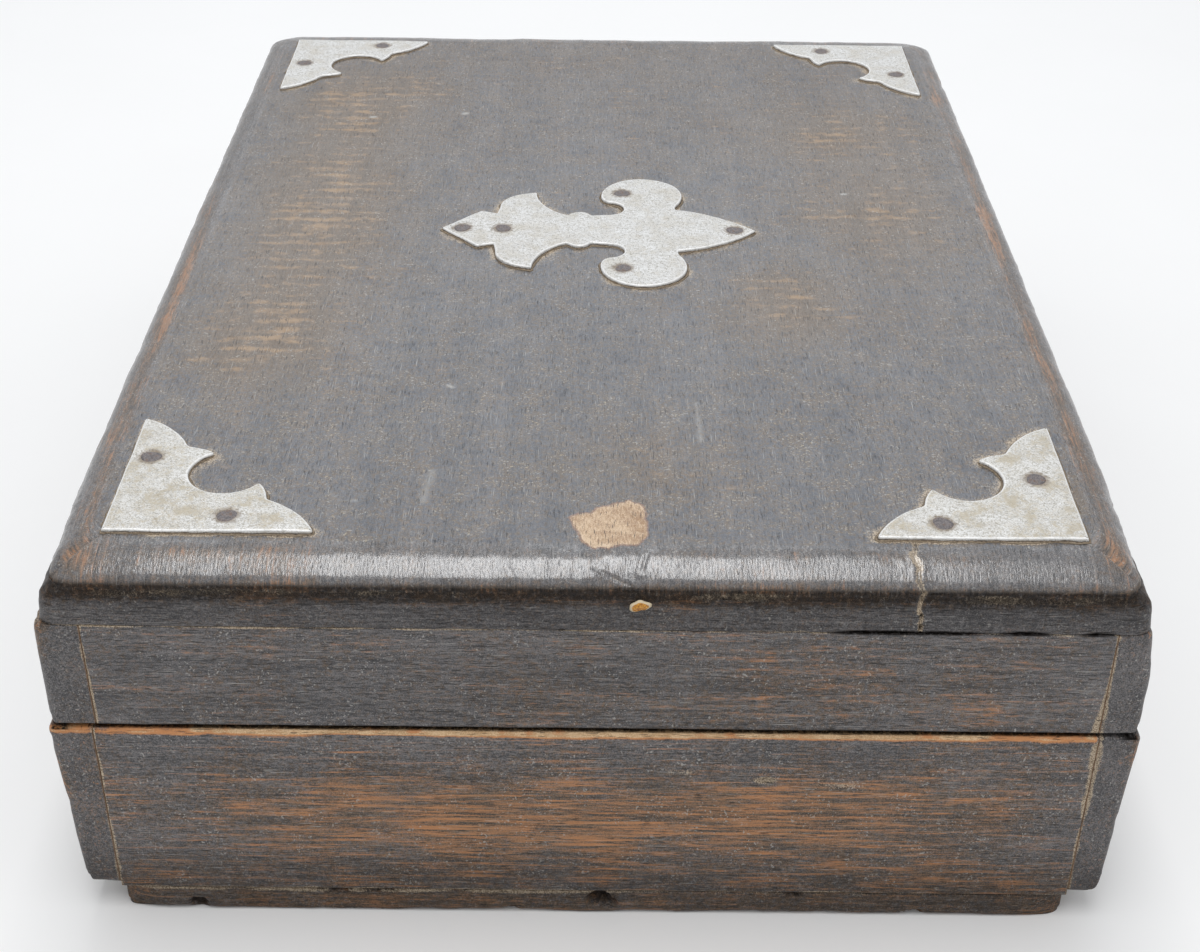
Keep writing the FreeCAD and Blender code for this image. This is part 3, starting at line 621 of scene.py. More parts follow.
def streaks_near(x, z):
    """Where the near board of the base has rubbed to a warm brown."""
    middle = np.exp(-(((x + 2) / 80) ** 4)) * bell(z - 25, 13)
    return 0.36 * middle + 0.10 * bell(x - 66, 16) + 0.16 * ease(z, 18, 8)


def flecks_rail(x, z):
    """Where the near rail of the lid shows a little warm brown."""
    return 0.12 * bell(x - 30, 60) * bell(z - 55, 10) + 0.03


def near_gap(flat, low):
    """The near rail's lower edge hangs a little low, most of all at its left end."""
    bow = 0.10 * ease(flat[:, X], -70, -20) - 0.22 + 0.04 * layers(flat, (6, 50, 50), 47)
    return bow * ease(flat[:, Z], low[Z] + 4.0, low[Z])


SMALL, ARRIS = 0.35, (0.7, 0.95)
# RIM_DARK is the painted shadow on the base's rim at the parting; FOOT_DARK darkens the boards towards their
# foot
RIM_LOSS, RIM_DARK, FOOT_DARK = 0.5, 0.92, 0.46
FOOT_INSET, FOOT_ROUND = 1.8, (5.2, 4.4)
NEAR_CHIPS = [((31.0, -133.0, 34.6), (2.6, 1.2, 1.0), 0.25, (0, 1, 0))]
# Pale smears on the near board: x, z, half sizes and strength
NEAR_SMEARS = [(31.0, 34.6, 2.0, 0.8, 1.3), (15.5, 36.5, 3.4, 1.0, 0.50), (45.0, 33.6, 5.5, 1.0, 0.46),
               (41.0, 38.5, 1.4, 1.6, 0.45)]
near_board_low, near_board_high = box_mm("base_near_board")
near_rail_low, near_rail_high = box_mm("lid_near_rail")
base_joint, foot_joint, band_joint = near_board_high[X], near_board_low[Z], box_mm("lid_panel")[0][Z]
base_seams = [(X, -base_joint, 0.46, 1.05), (X, base_joint, 0.62, 1.2), (Z, foot_joint, 0.34, 1.2)]
rail_seams = [(X, near_rail_low[X], 0.46, 1.05), (X, near_rail_high[X], 0.78, 1.25)]
for number, (end, side) in enumerate((("near", -1), ("far", 1))):
    inner = (Y, -side)
    board(f"base_{end}_board", "base", "base_wood", base_wood, X, inner,
          edge_set(inner, X, (0.2, 0.2), 0.2, 0.4, ARRIS), 50 + number * 20,
          worn=streaks_near, dents=NEAR_CHIPS if side < 0 else (), seams=base_seams)
    board(f"lid_{end}_rail", "lid", "frame_wood", frame_wood, X, inner,
          edge_set(inner, X, (0.2, 0.2), 0.2, 0.45, 0.2), 90 + number * 20,
          worn=flecks_rail, seams=rail_seams + [(Z, band_joint, 0.22, 1.0)],
          lift=near_gap if side < 0 else None)
for number, (face, side) in enumerate((("front", -1), ("back", 1))):
    inner = (X, -side)
    board(f"base_{face}_board", "base", "base_wood", base_wood, Y, inner,
          edge_set(inner, Y, (2.6, ARRIS), 1.5, FOOT_ROUND, ARRIS), 130 + number * 20,
          taper=side * FOOT_INSET, seams=base_seams, lean=(-0.45, -1, 0) if side < 0 else None, shade=0.10)
    board(f"lid_{face}_rail", "lid", "frame_wood", frame_wood, Y, inner,
          edge_set(inner, Y, (0.4, 0.3), 2.0, (1.3, 2.4), (0.6, 4.0)), 170 + number * 20,
          seams=rail_seams + [(Z, band_joint, 0.15, 0.6)],
          lean=(-0.95, -1, 0) if side < 0 else (-1.1, 56, 69), shade=0.10)

# Chips along the bottom's near edge: centre and half sizes
BOTTOM_CHIPS = [((1.0, -133, 3.6), (3.6, 4.5, 2.4)), ((-76.0, -133, 1.6), (2.4, 2.0, 1.6)),
                ((-16.0, -133, 0.6), (2.0, 1.6, 1.3)), ((38.0, -133, 5.4), (1.8, 1.4, 1.0)),
                ((-50.0, -133, 6.0), (5.4, 1.6, 1.0)), ((-42.0, -133, 5.9), (4.4, 1.5, 0.8)),
                ((-24.5, -133, 6.0), (2.4, 1.4, 0.6)), ((62.0, -133, 0.4), (2.6, 1.6, 1.2))]
# How far the bottom's raised field reaches down behind the boards
FIELD_DEPTH = 1.5


def bottom_panel():
    """The bottom: a thick board whose rim shows under the short boards, chipped along its near edge."""
    low, top = box_mm("bottom_panel")
    high = np.array([top[X], top[Y], near_board_low[Z]])
    dense = {k: [(c[k] - s[k], c[k] + s[k], 0.4) for c, s in BOTTOM_CHIPS] for k in (X, Y, Z)}
    points, faces = box_surface(*[grid_lines(low[k], high[k], 0.25, 3.0, dense[k]) for k in (X, Y, Z)])
    flat = points.copy()
    x, y, z = flat.T
    for number, (x_side, y_side) in enumerate(((-1, -1), (1, -1), (1, 1), (-1, 1))):
        soften(points, low, high, (X, x_side), (Y, y_side), (9.0, 3.0), seed=300 + number)
    for number, face in enumerate(((X, -1), (X, 1), (Y, -1), (Y, 1))):
        soften(points, low, high, face, (Z, -1), (1.4, 1.2), 0.5, seed=310 + number)
        soften(points, low, high, face, (Z, 1), (0.5, 0.4), 0.5, seed=320 + number)
    normals = normals_of(points, faces)
    push = 0.06 * layers(points, (7, 40, 7), 330) + 0.04 * layers(points, 2.0, 331)
    touching = (z > high[Z] - 0.01) | (z < low[Z] + 0.01)
    points += normals * np.where(touching, 0, push)[:, None]
    # Each chip is painted dark as shade in it, and the whole bottom is darkened by FOOT_DARK
    dark = np.zeros(len(points))
    for centre, size in BOTTOM_CHIPS:
        hollow = hollow_at(flat, centre, size, 0.4, 2.2, 340, 0.5)
        points[:, Y] += 0.6 * size[1] * hollow
        dark = np.maximum(dark, 0.9 * ease(hollow, 0.3, 0.9))
    patchy = ease(layers(flat, (16, 60, 6), 341), -0.4, 0.3) * ease(x, 20, -20) + 0.30
    dust = 1.05 * patchy * bell(high[Z] - z, 0.75) * (1 - ease(dark, 0.2, 0.6))
    new_piece("bottom_panel_worn", points, faces, bottom_wood, "base", "bottom_wood", ["bottom_panel"],
              grain=flat[:, [Y, X, Z]], worn=np.full(len(points), 0.30), dust=dust,
              dark=np.maximum(dark, FOOT_DARK))

    field_low = np.array([low[X], near_board_high[Y], high[Z] - FIELD_DEPTH])
    field_high = np.array([top[X], box_mm("base_far_board")[0][Y], top[Z]])
    points, faces = box_surface(*[grid_lines(field_low[k], field_high[k], 0.3, 3.5) for k in (X, Y, Z)])
    grain = points.copy()
    points[:, Z] += 0.05 * layers(grain, (7, 40, 7), 350)
    new_piece("bottom_field_worn", points, faces, bottom_wood, "base", "bottom_wood", grain=grain,
              inside=np.ones(len(points)))


bottom_panel()

# The lid's thick panel
NOSE_WIDTH, NOSE_HEIGHT, LIP = 9.5, 5.1, 0.75
BAND_CORNER, CROWN_CORNER, BAND_LEAN = 3.0, 11.0, 0.66
# The inset where the panel's corner begins to grow rounder
CORNER_START = 0.3
# Marks on the near side as (x, run over the nose from its foot)
CRACK = [(54.2, 13.2), (54.9, 11.0), (54.3, 8.5), (55.2, 6.0), (54.8, 3.5), (55.7, 1.0), (55.4, -1.5),
         (55.9, -4.0), (55.7, -7.5)]
CUTS = [[(-0.7, 4.9), (1.3, 4.2), (3.2, 3.0), (5.6, 2.0)], [(7.5, 4.6), (8.6, 8.0)]]
BARE_OUTLINE = [(-5.0, -115.5), (-3.2, -114.6), (-1.6, -114.4), (-0.1, -113.0), (2.1, -111.9), (4.8, -111.1),
                (5.6, -110.2), (7.4, -111.5), (8.7, -115.0), (8.9, -118.4), (8.5, -121.9), (7.0, -123.8),
                (3.9, -123.7), (2.1, -125.0), (0.5, -124.2), (-1.0, -124.9), (-2.3, -123.3), (-3.9, -119.9)]
# Soft patches on the lid's top where the stain has rubbed through: x, y, half sizes and strength
RUBBED = [(-66, 15, 15, 52, 0.42), (-70, -52, 14, 20, 0.34), (40, -36, 12, 16, 0.44), (66, 14, 18, 34, 0.30),
          (60, 62, 26, 18, 0.24), (-62, 78, 18, 20, 0.30),
          (91, -84, 1.8, 40, 0.36), (-92, -40, 1.8, 60, 0.32),
          (91, 20, 1.8, 40, 0.30), (8, -98, 16, 14, 0.15), (0, 70, 60, 40, 0.05), (90, -123, 3.0, 5, 0.36),
          (-62, 10, 30, 75, 0.08), (70, 0, 26, 80, 0.02), (0, 118, 90, 28, 0.10), (86, -108, 2.5, 6, 0.30),
          (-91, -127, 3, 3, 0.42), (-56, -128, 12, 2, 0.06), (-70, -127, 8, 2, 0.10)]


def nose_levels(foot, top):
    """(inset, height) of each level from the band up over the nose, and the height of the nose's foot."""
    nose_foot = top - NOSE_HEIGHT
    levels = [(0.24, foot), (0.08, foot + 0.10), (0.0, foot + 0.3), (0.03, foot + 0.8)]
    levels += [(0.08 * height, foot + height) for height in (1.4, 2.1, 2.9, 3.6, 4.2)]
    levels += [(0.40, foot + 4.8), (0.48, foot + 5.3), (0.57, foot + 5.8), (0.64, foot + 6.3)]
    levels += [(BAND_LEAN + more, nose_foot + up) for more, up in ((0.18, 0.1), (0.12, 0.5), (0, 1.0))]
    for angle in np.radians(np.linspace(4, 90, 30)):
        inset = BAND_LEAN + (NOSE_WIDTH - BAND_LEAN) * (1 - math.cos(angle) ** 0.9)
        levels.append((inset, nose_foot + LIP + (NOSE_HEIGHT - LIP) * math.sin(angle)))
    return levels, nose_foot


def lid_panel():
    """The panel as a stack of loops from its band over its nose, closed by a grid above and below."""
    low, high = box_mm("lid_panel")
    middle, half = (low + high) / 2, (high - low) / 2
    levels, nose_foot = nose_levels(low[Z], high[Z])
    xs = grid_lines(low[X], high[X], 0.5, 2.2, [(-9, 12, 0.36), (53, 57.5, 0.22)])
    ys = grid_lines(low[Y], high[Y], 0.5, 2.2, [(-133, -109, 0.5)])
    nx, ny = len(xs), len(ys)
    unit = np.stack(np.meshgrid((xs - middle[X]) / half[X], (ys - middle[Y]) / half[Y], indexing="ij"), -1)
    loop = [(i, 0) for i in range(nx - 1)] + [(nx - 1, j) for j in range(ny - 1)]
    loop += [(i, ny - 1) for i in range(nx - 1, 0, -1)] + [(0, j) for j in range(ny - 1, 0, -1)]
    loop = tuple(np.array(loop).T)
    inner = tuple(np.array([(i, j) for i in range(1, nx - 1) for j in range(1, ny - 1)]).T)
    count, rows, inner_count = len(loop[0]), len(levels), len(inner[0])
    top_start, foot_start = count * rows, count * rows + inner_count

    def placed(places, inset, height):
        """Points of a level: places of the unit rectangle set in from the faces, with rounded corners."""
        size = half[:2] - inset
        spots = unit[places] * size
        rounding = max(inset - CORNER_START, 0) / (NOSE_WIDTH - CORNER_START)
        radius = BAND_CORNER + (CROWN_CORNER - BAND_CORNER) * rounding**0.6
        shares = 1 - (size - np.abs(spots)) / radius
        spots -= np.sign(spots) * radius * shares * round_share(*shares.T)[:, None]
        return flat_to_solid(spots + middle[:2], height)

    def grid_faces(loop_start, inner_start):
        """The quads that close a level, over its loop and the points inside it."""
        ids = np.zeros((nx, ny), int)
        ids[loop], ids[inner] = loop_start + np.arange(count), inner_start + np.arange(inner_count)
        return np.stack([ids[:-1, :-1], ids[1:, :-1], ids[1:, 1:], ids[:-1, 1:]], -1).reshape(-1, 4)

    blocks = [placed(loop, inset, height) for inset, height in levels]
    blocks += [placed(inner, NOSE_WIDTH, high[Z]), placed(inner, levels[0][0], low[Z])]
    points = np.concatenate(blocks)
    faces = np.concatenate([strips(count, rows), grid_faces(top_start - count, top_start),
                            grid_faces(0, foot_start)[:, [0, 3, 2, 1]]])
    runs = np.cumsum([0.0] + [math.dist(*pair) for pair in zip(levels[:-1], levels[1:])])
    nose_run = next(run for (inset, height), run in zip(levels, runs) if height > nose_foot)
    crown_run = runs[-1] - nose_run

    # Where each point lies: its run over the nose from the nose's foot, and its side
    flat = points.copy()
    x, y, z = flat.T
    is_loop = np.arange(len(points)) < top_start
    is_foot = np.arange(len(points)) >= foot_start
    reach_x, reach_y = half[X] - np.abs(x - middle[X]), half[Y] - np.abs(y)
    reach = np.minimum(reach_x, reach_y)
    level_run = np.concatenate([np.repeat(runs, count), np.zeros(2 * inner_count)])
    run_here = np.where(is_loop, level_run, runs[-1] + reach - NOSE_WIDTH) - nose_run
    end_side = reach_y <= reach_x
    near_side = end_side & (y < 0)
    marked = near_side & ~is_foot
    on_nose = ease(run_here, -1.5, 1.0) * ease(run_here, crown_run + 2.0, crown_run - 3.5) * ~is_foot

    # Unrolled grain: across and along, with the run over the nose taken as length
    roll = np.where(is_loop, (crown_run - run_here) - (NOSE_WIDTH - reach), 0.0)
    on_band = is_loop & (run_here < -0.3)
    across = np.where(on_band, z + 300, x + np.where(end_side, 0, np.sign(x) * roll))
    along = y + np.where(end_side, np.sign(y) * roll, 0)
    along = np.where(on_band, np.where(end_side, x, y), along)
    grain = np.stack([across, along, np.where(on_band, 40.0, 0.0)], -1)

    # Wear, the crack, the cuts and the dent, all along the normals
    push = 0.035 * layers(flat, (9, 30, 9), 400) * ~is_foot
    push += on_nose * (0.15 * layers(flat, 14, 401, 2) + 0.07 * layers(flat, 3.2, 402))
    push += on_nose * 0.03 * layers(flat, (1.2, 5, 5), 409, 2)
    lumps = ease(run_here, 3.0, 1.0) * ease(run_here, -3.5, -1.5) * is_loop
    push += lumps * 0.14 * layers(flat, (1.5, 1.5, 1.0), 432, 2)
    push += np.where(is_loop, 0.05 * layers(flat, (5, 5, 1.2), 403), 0) * (1 - on_nose)
    push -= 0.25 * bell(run_here - 0.6, 1.5) * is_loop * ease(layers(flat, 2.4, 404), 0.0, 1.0)
    spots = np.stack([x, run_here], -1)
    jag = 0.35 * layers(run_here[:, None] * [0, 1, 0], 0.9, 405)
    crack_gap = np.where(marked, along_path(spots + jag[:, None] * [1, 0], CRACK), 99)
    holes = ease(field(flat, (2, 2, 1.1), 412), -0.1, 0.25) * ease(run_here, 1.0, -1.0)
    push -= (0.22 + 0.8 * holes) * bell(crack_gap, 0.30) - 0.07 * bell(crack_gap - 0.9, 0.5)
    spots_cut = spots + 0.15 * np.column_stack([field(flat, 0.9, 413), field(flat, 0.9, 414)])
    cut_gap = np.where(marked, np.minimum(*(along_path(spots_cut, cut) for cut in CUTS)), 99)
    push -= 0.16 * bell(cut_gap, 0.22) - 0.05 * bell(cut_gap - 0.7, 0.4)
    push -= 0.55 * bell(np.where(marked, np.hypot((x - 4.6) / 5.0, (run_here - 3.0) / 2.6), 9), 1)
    patch = bare_patch(flat) * ~is_foot
    push += 0.08 * patch * (1 + 0.7 * layers(flat, 1.1, 406))
    points += normals_of(flat, faces) * push[:, None]

    # The near end's own shape, and the joint sprung open over its rail
    near_end = ease(y, -95, -126)
    spread = near_end * ease(run_here, 0, -3) * is_loop
    drawn_in = (0.45 + 0.85 * near_end) * ease(run_here, -2.4, 0.3)
    drawn_in = drawn_in * ease(run_here, crown_run, crown_run - 5) * is_loop
    points[:, X] += (spread * 0.45 - drawn_in) * ease(x, 82, 94)
    points[:, X] -= (spread * 0.25 - drawn_in) * ease(x, -82, -94)
    points[:, Z] -= 0.04 * ease(run_here, crown_run - 3, crown_run + 3) * ~is_foot
    gap_share = open_joint(flat) * near_side * is_loop
    lift = gap_share * (0.32 + 0.12 * field(flat, 1.6, 435)) + 0.05 * layers(flat, 3, 408)
    points[:, Z] += np.where(is_loop & (z < low[Z] + 0.5), np.maximum(lift, -0.02), 0)

    worn = figure(x, y) * ~is_foot * ease(z, 76.8, 78.6) + on_nose * side_wear(flat, run_here, end_side)
    worn += 0.22 * ease(run_here, 3.0, 1.5) * ease(run_here, -3, -1) * is_loop
    worn += 0.05 * on_nose * near_side * ease(x, 0, -60) * ease(run_here, 2.0, 4.0)
    worn = np.clip(worn, 0, 1)
    crack_width = 0.48 + 0.40 * ease(run_here, 2, 7) * ease(run_here, 11, 8)
    putty = 1.15 * bell(crack_gap, crack_width) * (0.85 + 0.4 * field(flat, 1.2, 410))
    unfilled = 1 - np.clip(putty, 0, 1)
    dust = np.maximum(putty, 0.7 * bell(cut_gap, 0.2) * ease(field(flat, 2.0, 411), -0.3, 0.3))
    band_dust = seam_dust(flat, [(Z, band_joint, 0.16, 0.9)], 430) * is_loop * np.where(end_side, 1, 0.5)
    quirk_dust = bell(run_here + 0.2, 1.1) * is_loop * (0.35 + 0.35 * layers(flat, (9, 9, 3), 431))
    for more in (band_dust, quirk_dust, 0.80 * mount_halo(flat) * ~is_foot * ~is_loop):
        dust = np.maximum(dust, more)
    split = 0.85 * ease(field(flat, (3, 1.6, 2), 433), -0.1, 0.3) * (run_here > 1)
    # The crack's open holes and splits and the cuts are painted dark, as shade in them
    dark = bell(crack_gap, 0.25) * np.maximum(holes, split)
    dark = np.maximum(dark, 0.45 * bell(cut_gap, 0.34) * (1 - dust))
    # Painted shade on the band under the nose and in the quirk, and on the nose's lower flank
    band_shade = 0.36 * ease(run_here, 1.0, -0.5) + 0.5 * bell(run_here + 0.2, 2.2)
    nose_shade = 0.95 * ease(run_here, 2.4, 1.1) * ease(run_here, -3.4, -1.2)
    nose_shade += 0.12 * on_nose * ease(run_here, 4, 1.6)
    shade = np.maximum(band_shade * (0.9 + 0.2 * layers(flat, 3.0, 415)), nose_shade) * is_loop
    dark = np.clip(np.maximum(dark, shade * (1 - 0.8 * worn) * unfilled), 0, 1)
    # Painted shade in the joint sprung open along the panel's lower edge, where the dust gives way to it
    gap_painted_shade = gap_share * ease(z, low[Z] + 0.7, low[Z] + 0.4) * unfilled
    dark, dust = np.maximum(dark, gap_painted_shade), dust * (1 - gap_painted_shade)
    polish = on_nose * np.where(end_side, 1.0, 0.6) * ease(run_here, 1.0, 2.2)
    polish = np.maximum(polish, 0.3 * ~is_foot * ease(run_here, crown_run - 3, crown_run))
    new_piece("lid_panel_worn", points, faces, panel_wood, "lid", "panel_wood", ["lid_panel"], grain=grain,
              worn=worn, raw=patch, dust=dust, dark=np.clip(dark, 0, 1), polish=polish,
              inside=is_foot.astype(float))


def bare_patch(flat):
    """1 where a flake of the finish is gone near the middle of the near end."""
    spots = flat[:, :2] + 0.4 * np.column_stack([layers(flat, 1.8, 420), layers(flat, 1.8, 421)])
    gap = along_path(spots, BARE_OUTLINE + BARE_OUTLINE[:1])
    gap = np.where(inside_outline(spots, BARE_OUTLINE), gap, -gap)
    return ease(gap, -0.9, 0.9) * (flat[:, Z] > 78)


def mount_halo(flat):
    """Dust that has gathered on the wood beside each mount."""
    best = np.full(len(flat), 99.0)
    for loop in cut_outlines.values():
        close = np.all((flat[:, :2] > loop.min(0) - 4) & (flat[:, :2] < loop.max(0) + 4), axis=1)
        if close.any():
            best[close] = np.minimum(best[close], along_path(flat[close, :2], list(loop) + [loop[0]]))
    return np.exp(-best / 2.0) * np.clip(0.8 + 0.5 * layers(flat, 4.0, 416), 0, 1)


def figure(x, y):
    """How far the stain on the lid's top has rubbed through."""
    return np.clip(sum(strength * np.exp(-(((x - spot_x) / wide) ** 2) - ((y - spot_y) / long) ** 2)
                       for spot_x, spot_y, wide, long, strength in RUBBED), 0, 1)


def side_wear(flat, run_here, end_side):
    """Rubbed wood along the crown of the long sides' noses."""
    crown = bell(run_here - 8.0 - 1.2 * layers(flat, 40, 417), 1.3)
    patchy = ease(layers(flat, (9, 26, 9), 418), -0.4, 0.7)
    return np.where(end_side, 0.12, 0.36) * crown * patchy + 0.05


# The drop of glue: its middle in x and z, its half sizes there and how far it stands out
DROP_X, DROP_Z, DROP_WIDE, DROP_TALL, DROP_OUT = 7.3, 74.1, 1.75, 1.25, 0.62


def amber_drop():
    """A dried drop of glue on the band, glassy amber with a pale crust round it."""
    face = box_mm("lid_panel")[0][Y]
    count, rings = 28, 7
    turn = np.linspace(0, 2 * math.pi, count, endpoint=False)
    ragged = 1 + 0.16 * np.sin(2 * turn + 0.6) + 0.10 * np.sin(3 * turn + 2.2) + 0.07 * np.sin(5 * turn)
    blocks = [[[DROP_X, face - DROP_OUT, DROP_Z]]]
    shares = np.arange(1, rings + 1) / rings
    for share in shares:
        out = DROP_OUT * (1 - share**2.4) - 0.12 * share
        wide, tall = DROP_WIDE * share * ragged * np.cos(turn), DROP_TALL * share * ragged * np.sin(turn)
        blocks.append(np.stack([DROP_X + wide, np.full(count, face - out), DROP_Z + tall], -1))
    points = np.concatenate(blocks + [[[DROP_X, face + 0.3, DROP_Z]]])
    crust = np.concatenate([[0], np.repeat(ease(shares, 0.62, 0.85), count), [1]])
    last = 1 + (rings - 1) * count
    turns = [(k, (k + 1) % count) for k in range(count)]
    faces = [(0, 1 + b, 1 + a) for a, b in turns] + strips(count, rings, 1)
    faces += [(last + a, last + b, len(points) - 1) for a, b in turns]
    points[1:] += 0.05 * np.stack([field(points[1:], 0.7, seed) for seed in (450, 451, 452)], -1)
    s = Shader("amber")
    edge = s.value("crust")
    grit = s.noise(s.spot, 0.3, 2, 0.6, 0, 1)
    colour = s.mix(s.between(grit, 0.35, 0.65), (0.62, 0.30, 0.04), (0.30, 0.11, 0.015))
    colour = s.mix(s.between(s.plus(edge, s.around(grit, 0.8)), 0.3, 0.7), colour, (0.62, 0.52, 0.36))
    material = s.finish(colour, s.between(edge, 0, 1, 0.15, 0.7), [(grit, 0.06)])
    # The rings run the other way round when they are seen from outside the near end
    new_piece("amber_drop", points, [face[::-1] for face in faces], material, "lid", crust=crust)


amber_drop()


# Metal mounts: each is built anew on its CAD plate's outline, with its nails' heads
def top_loops(node):
    """The closed outlines of a node's flat top, longest first, in millimetres."""
    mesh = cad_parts[node].data
    places = np.array([v.co for v in mesh.vertices]) / MM
    top = places[:, Z].max()
    used = {}
    for polygon in mesh.polygons:
        corners = [tuple(np.round(places[k], 3)) for k in polygon.vertices]
        if all(corner[2] > top - 0.01 for corner in corners):
            for start, end in zip(corners, corners[1:] + corners[:1]):
                if used.pop((end, start), None) is None:
                    used[(start, end)] = True
    following = {start: end for start, end in used}
    loops = []
    while following:
        start, spot = next(iter(following.items()))
        loop = [start]
        del following[start]
        while spot != start:
            loop.append(spot)
            spot = following.pop(spot)
        loops.append(np.array(loop))
    return sorted(loops, key=lambda loop: -np.ptp(loop, axis=0).max())


# Each nail driven by eye, so no two corners match
CORNER_NAIL_SPOTS = [(-65.4, -117.2), (-82.7, -98.3), (60.7, -117.4), (79.9, -103.0),
                     (-82.4, 103.6), (-62.3, 117.8), (62.0, 116.8), (80.9, 99.5)]
MOUNTS = ["corner_mount_near_left", "corner_mount_near_right", "corner_mount_far_left",
          "corner_mount_far_right", "centre_mount"]
MOUNT_TOP = box_mm("centre_mount")[1][Z]
top_outlines = {node: top_loops(node) for node in MOUNTS}
CORNER_NAILS = [np.array([x, y, MOUNT_TOP]) for x, y in CORNER_NAIL_SPOTS]
CENTRE_NAILS = [loop.mean(axis=0) for loop in top_outlines["centre_mount"][1:]]
nail_spots = CORNER_NAILS + CENTRE_NAILS
# Steps between the points of a cut outline and of the grid inside it, and how far in its rolled rim ends
CUT_STEP, FILL_STEP, RIM_INSET = 0.3, 1.1, 0.5
CENTRE_EASING, CORNER_EASING = 0.36, 0.75


def cut_outline(node):
    """A mount's outline as snipped by hand: evenly spaced points, eased cusps and an uneven edge."""
    is_centre = node == "centre_mount"
    loop = top_outlines[node][0][:, :2]
    closed = np.vstack([loop, loop[:1]])
    length = np.concatenate([[0], np.cumsum(np.linalg.norm(np.diff(closed, axis=0), axis=1))])
    places = np.linspace(0, length[-1], int(length[-1] / CUT_STEP), endpoint=False)
    spots = np.stack([np.interp(places, length, closed[:, k]) for k in (X, Y)], -1)
    steps = np.arange(-8, 9)
    weights = bell(steps * CUT_STEP, CENTRE_EASING if is_centre else CORNER_EASING)
    smooth = sum(w * np.roll(spots, k, axis=0) for w, k in zip(weights / weights.sum(), steps))
    if not is_centre:
        square = loop[np.argmax(np.abs(loop).sum(axis=1))]
        smooth = spots + (smooth - spots) * ease(np.linalg.norm(spots - square, axis=1), 0.6, 2.0)[:, None]
    solid = flat_to_solid(smooth)
    spots = smooth + 0.07 * np.column_stack([layers(solid, 5.0, 470), layers(solid, 5.0, 471)])
    area = np.sum(spots[:, 0] * np.roll(spots[:, 1], -1) - spots[:, 1] * np.roll(spots[:, 0], -1))
    return spots if area > 0 else spots[::-1]


def inward_of(spots):
    """Unit directions into a closed outline that runs anticlockwise."""
    ahead = np.roll(spots, -1, axis=0) - np.roll(spots, 1, axis=0)
    ahead /= np.linalg.norm(ahead, axis=1, keepdims=True)
    return np.stack([-ahead[:, 1], ahead[:, 0]], -1)


cut_outlines = {node: cut_outline(node) for node in MOUNTS}
lid_panel()


# Fine parallel scratches on the plates: the angle and width of each set, the last two being stained
SILVER_MARKS = [(28, 0.10), (-47, 0.09), (81, 0.10), (8, 0.08), (55, 0.13), (-20, 0.13)]


def old_silver():
    """Pale worn sheet metal, scratched, with brown grime in its pits and round the nails, and a rolled rim
    painted bright as rubbed metal and a painted highlight.
    """
    s = Shader("old_silver")
    blotch = s.noise(s.spot, 4, 4, 0.6, 0.3, 1)
    fine = s.noise(s.spot, 0.8, 4, 0.7, 0.2, 2)
    grit = s.noise(s.spot, 0.30, 2, 0.6, 0, 3)
    nearest = s.fold("MINIMUM", [s.vector("DISTANCE", s.spot, spot) for spot in nail_spots])
    halo = s.between(s.plus(nearest, s.around(fine, 3.0)), 3.1, 1.7)
    tone = s.shares((grit, 0.5), (fine, 0.5))
    colour = s.mix(s.between(tone, 0.38, 0.56), (0.36, 0.345, 0.31), (0.77, 0.775, 0.78))
    stain = s.between(s.shares((blotch, 0.5), (fine, 0.5)), 0.47, 0.60)
    near_end = s.between(s.part(s.spot, Y), -30, -90, 0.35, 0.8)
    yellowed = s.mix(s.times(near_end, 0.15), colour, (0.70, 0.62, 0.44))
    colour = s.mix(s.times(stain, near_end), yellowed, (0.48, 0.42, 0.31))
    marks = []
    for number, (angle, width) in enumerate(SILVER_MARKS):
        turned = s.mapped(s.spot, Rotation=(0, 0, math.radians(angle)))
        marks.append(s.between(s.noise(turned, (6, width, 6), 1, 0.5, 0, 10 + number), 0.68, 0.74))
    lines, stained_lines = s.most(*marks[:4]), s.most(*marks[4:])
    colour = s.mix(s.times(stained_lines, 0.55), colour, (0.30, 0.24, 0.17))
    colour = s.mix(s.times(lines, 0.55), colour, (0.86, 0.86, 0.84))
    pits = s.between(s.shares((fine, 0.6), (grit, 0.4)), 0.62, 0.68)
    grime = s.most(s.times(halo, 0.75), s.times(pits, 0.7))
    colour = s.mix(grime, colour, (0.17, 0.115, 0.065))
    # The rolled rim is painted near white: rubbed metal and a painted highlight along the plate's edge
    rubbed = s.times(s.value("rim"), s.between(fine, 0.30, 0.50, 0.4, 1.0))
    colour = s.mix(rubbed, colour, (0.90, 0.90, 0.89))
    rough = s.between(s.shares((blotch, 0.5), (grit, 0.5)), 0.3, 0.7, 0.48, 0.66)
    return s.finish(colour, rough, [(fine, 0.05), (grit, 0.02), (lines, -0.03), (pits, -0.06)],
                    Metallic=s.between(grime, 0.0, 0.6, 0.4, 0.05))


def old_iron():
    """Dark nail iron gone brown with rust."""
    s = Shader("nail_iron")
    rust = s.noise(s.spot, 1.1, 4, 0.65, 0.3, 1)
    grit = s.noise(s.spot, 0.3, 2, 0.6, 0, 2)
    share = s.between(s.shares((rust, 0.5), (grit, 0.5)), 0.36, 0.64)
    colour = s.mix(share, (0.10, 0.092, 0.095), (0.27, 0.24, 0.235))
    colour = s.mix(s.times(s.between(rust, 0.5, 0.66), 0.7), colour, (0.16, 0.085, 0.045))
    return s.finish(colour, s.between(rust, 0.3, 0.7, 0.45, 0.7), [(rust, 0.10), (grit, 0.03)], Metallic=0.4)


